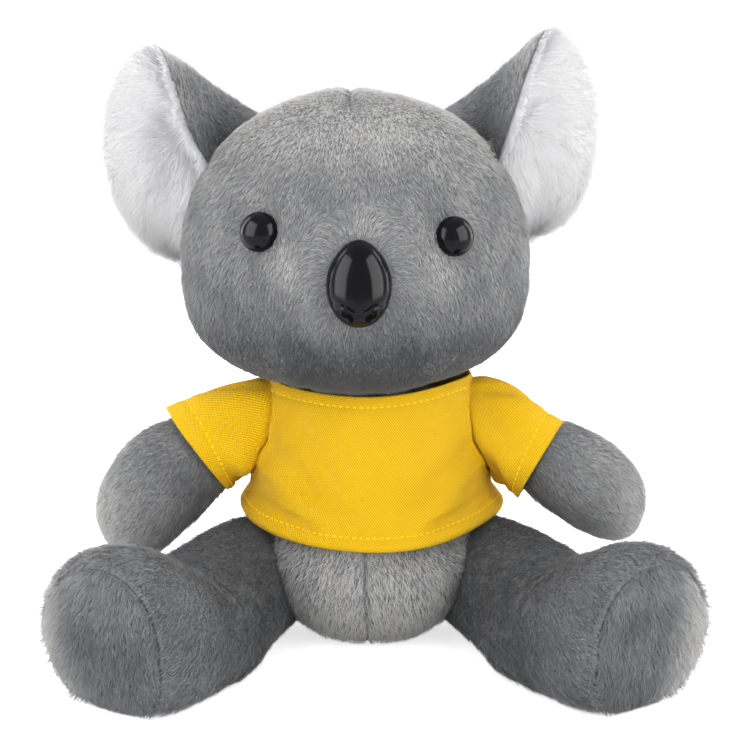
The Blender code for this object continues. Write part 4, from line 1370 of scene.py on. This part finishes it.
    def row(self, name: str, shape: Shape, level: float, inside: Array) -> bpy.types.Object:
        """Stitches all round a piece of cloth.

        Args:
            name: The piece's name.
            shape: The cloth's shape.
            level: The share of its length that they lie at.
            inside: A point that they face away from.

        Returns:
            One piece with all its stitches.
        """
        line = shape(np.linspace(0.0, 1.0, EDGE_LINE), np.full(EDGE_LINE, level))
        along = np.concatenate([[0.0], np.cumsum(np.linalg.norm(np.diff(line, axis=0), axis=1))])
        count = int(along[-1] / self.stitch_pitch)
        at = (np.arange(count) + 0.5) * self.stitch_pitch
        place, ahead, facing = (
            points(*(np.interp(where, along, part) for part in values.T))
            for where, values in ((at, line), (at + 0.0003, line), (at, unit(line - inside)))
        )
        facing, way = unit(facing), unit(ahead - place)
        one = ball(f"{name}_one", 8, 5)
        grain = points_of(one) * self.stitch + (0.0, 0.0, 0.00004)
        faces = [tuple(face.vertices) for face in one.data.polygons]
        bpy.data.objects.remove(one, do_unlink=True)
        turns = np.stack([way, unit(np.cross(facing, way)), facing], axis=1)
        corners = place[:, None, :] + grain @ turns
        mesh = bpy.data.meshes.new(name)
        every = [tuple(index + copy * len(grain) for index in face) for copy in range(count) for face in faces]
        mesh.from_pydata(corners.reshape(-1, 3).tolist(), [], every)
        mesh.shade_smooth()
        return add(name, mesh)

    def build(self) -> None:
        """Makes and dresses the shirt."""
        jersey, thread = JERSEY.material(), JERSEY.thread_material()
        cloth = drape("shirt_body", 300, 84, self.shape, (0.225, 0.0425))
        face_out(cloth, 0.055 * UP)
        thicken(cloth, self.wall)
        wear(cloth, jersey)
        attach(cloth, "torso")
        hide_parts("shirt_front", "shirt_back")
        rows = [
            self.row("collar_stitches", self.shape, 1.0 - self.collar_width / 0.0430, 0.0770 * UP),
            self.row("hem_stitches", self.shape, self.hem_width / 0.0400, 0.0385 * UP),
        ]
        for piece in rows:
            wear(piece, thread)
            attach(piece, "torso")
        LOG.info("shirt body")
        for side in Side:
            self.build_sleeve(Arm(side), jersey, thread)

    def build_sleeve(self, arm: Arm, jersey: bpy.types.Material, thread: bpy.types.Material) -> None:
        """Makes and dresses one sleeve."""
        word, shape = arm.side.word, self.sleeve(arm)
        sleeve = drape(f"sleeve_cloth_{word}", 120, 36, shape, (0.092, 0.0185))
        face_out(sleeve, arm.root + arm.way * 0.006)
        thicken(sleeve, self.wall)
        level = 1.0 - self.cuff_width / self.sleeve_lengths[arm.side]
        row = self.row(f"sleeve_stitches_{word}", shape, level, arm.root + arm.way * 0.012)
        for piece, material in ((sleeve, jersey), (row, thread)):
            wear(piece, material)
            arm.bend(piece, -0.002, arm.seam_reach)
        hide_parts(f"sleeve_{word}")
        LOG.info("sleeve %s", word)


@dataclass
class Studio:
    """The floor, the light and the camera."""

    target: tuple[float, float, float] = (0.0015, -0.0020, 0.0778)
    distance: float = 0.900
    elevation: float = 13.0
    lens: float = 144.0
    sensor: float = 36.0
    floor_size: float = 6.0
    boxes: tuple = (
        ("left_box", (-0.47, -0.61, 0.40), (0.50, 0.80), 4.1, False),
        ("right_box", (0.47, -0.59, 0.36), (0.50, 0.80), 3.9, False),
        ("left_card", (-0.72, -0.36, 0.34), (0.70, 0.95), 20.0, True),
        ("right_card", (0.72, -0.36, 0.34), (0.70, 0.95), 20.0, True),
        ("top_box", (-0.05, 0.05, 0.92), (0.60, 0.50), 7.5, False),
        ("left_rim", (-0.66, 0.34, 0.34), (0.30, 0.70), 3.6, None),
        ("right_rim", (0.66, 0.34, 0.30), (0.30, 0.70), 3.2, None),
    )

    def floor(self) -> None:
        """A pale floor that shows as white where nothing shades it."""
        bpy.ops.mesh.primitive_plane_add(size=self.floor_size)
        floor = take("floor")
        graph = Graph("pale_floor", 0.9)
        graph.paint(graph.blend(graph.noise(9.0, 2.0), (0.86, 0.86, 0.86), (0.90, 0.90, 0.90)))
        glow = graph.node("ShaderNodeEmission", None, {"Color": (1.0, 1.0, 1.0), "Strength": 0.70})
        lit = graph.node("ShaderNodeAddShader", None, {0: graph.shader.outputs[0], 1: glow.outputs[0]})
        floor.data.materials.append(graph.end(graph.seen(), graph.shader, lit))

    def sky(self) -> None:
        """A soft white room, seen as white."""
        world = bpy.data.worlds.new("white_room")
        bpy.context.scene.world = world
        world.use_nodes = True
        room = Graph(tree=world.node_tree)
        ground = world.node_tree.nodes["Background"]
        room.feed(ground.inputs["Color"], (1.0, 1.0, 1.0))
        level = room.value("ShaderNodeMapRange", None, {"Value": room.seen(), "To Min": 0.42, "To Max": 1.0})
        room.feed(ground.inputs["Strength"], level)

    def lamp(self, name: str, place: tuple, size: tuple, power: float, mirrored: Optional[bool]) -> None:
        """A soft box aimed at the toy.

        Args:
            name: Its name.
            place: Its middle.
            size: Its width and height.
            power: Its power.
            mirrored: True where only gloss shows it, False where gloss doesn't, None for both.
        """
        light = bpy.data.lights.new(name, "AREA")
        light.shape = "RECTANGLE"
        light.size, light.size_y = size
        light.energy = power
        lamp = add(name, light)
        if mirrored is not None:
            lamp.visible_diffuse, lamp.visible_glossy = not mirrored, mirrored
        self.aim(lamp, Vector(place))

    def aim(self, viewer: bpy.types.Object, place: Vector) -> None:
        """Puts a lamp or a camera at a place and turns it to the toy."""
        viewer.location = place
        viewer.rotation_euler = (Vector(self.target) - place).to_track_quat("-Z", "Y").to_euler()

    def camera(self) -> None:
        """The photograph's view: a long lens a little above the level."""
        lean = math.radians(self.elevation)
        view = bpy.data.cameras.new("view")
        view.lens = self.lens
        view.sensor_width = self.sensor
        view.clip_start = 0.01
        camera = add("view", view)
        self.aim(camera, Vector(self.target) + Vector((0.0, -math.cos(lean), math.sin(lean))) * self.distance)
        bpy.context.scene.camera = camera

    def build(self) -> None:
        """Sets the stage."""
        bpy.context.scene.view_settings.view_transform = "Standard"
        self.floor()
        self.sky()
        for box in self.boxes:
            self.lamp(*box)
        self.camera()


def main() -> None:
    """Builds and dresses the koala, and sets its stage."""
    logging.basicConfig(level=logging.INFO, format="%(name)s: %(message)s")
    Head().build()
    for side in Side:
        Ear(side).build()
    Body().build()
    for side in Side:
        Arm(side).build()
        Leg(side).build()
    Shirt().build()
    Studio().build()


if __name__ == "__main__":
    main()
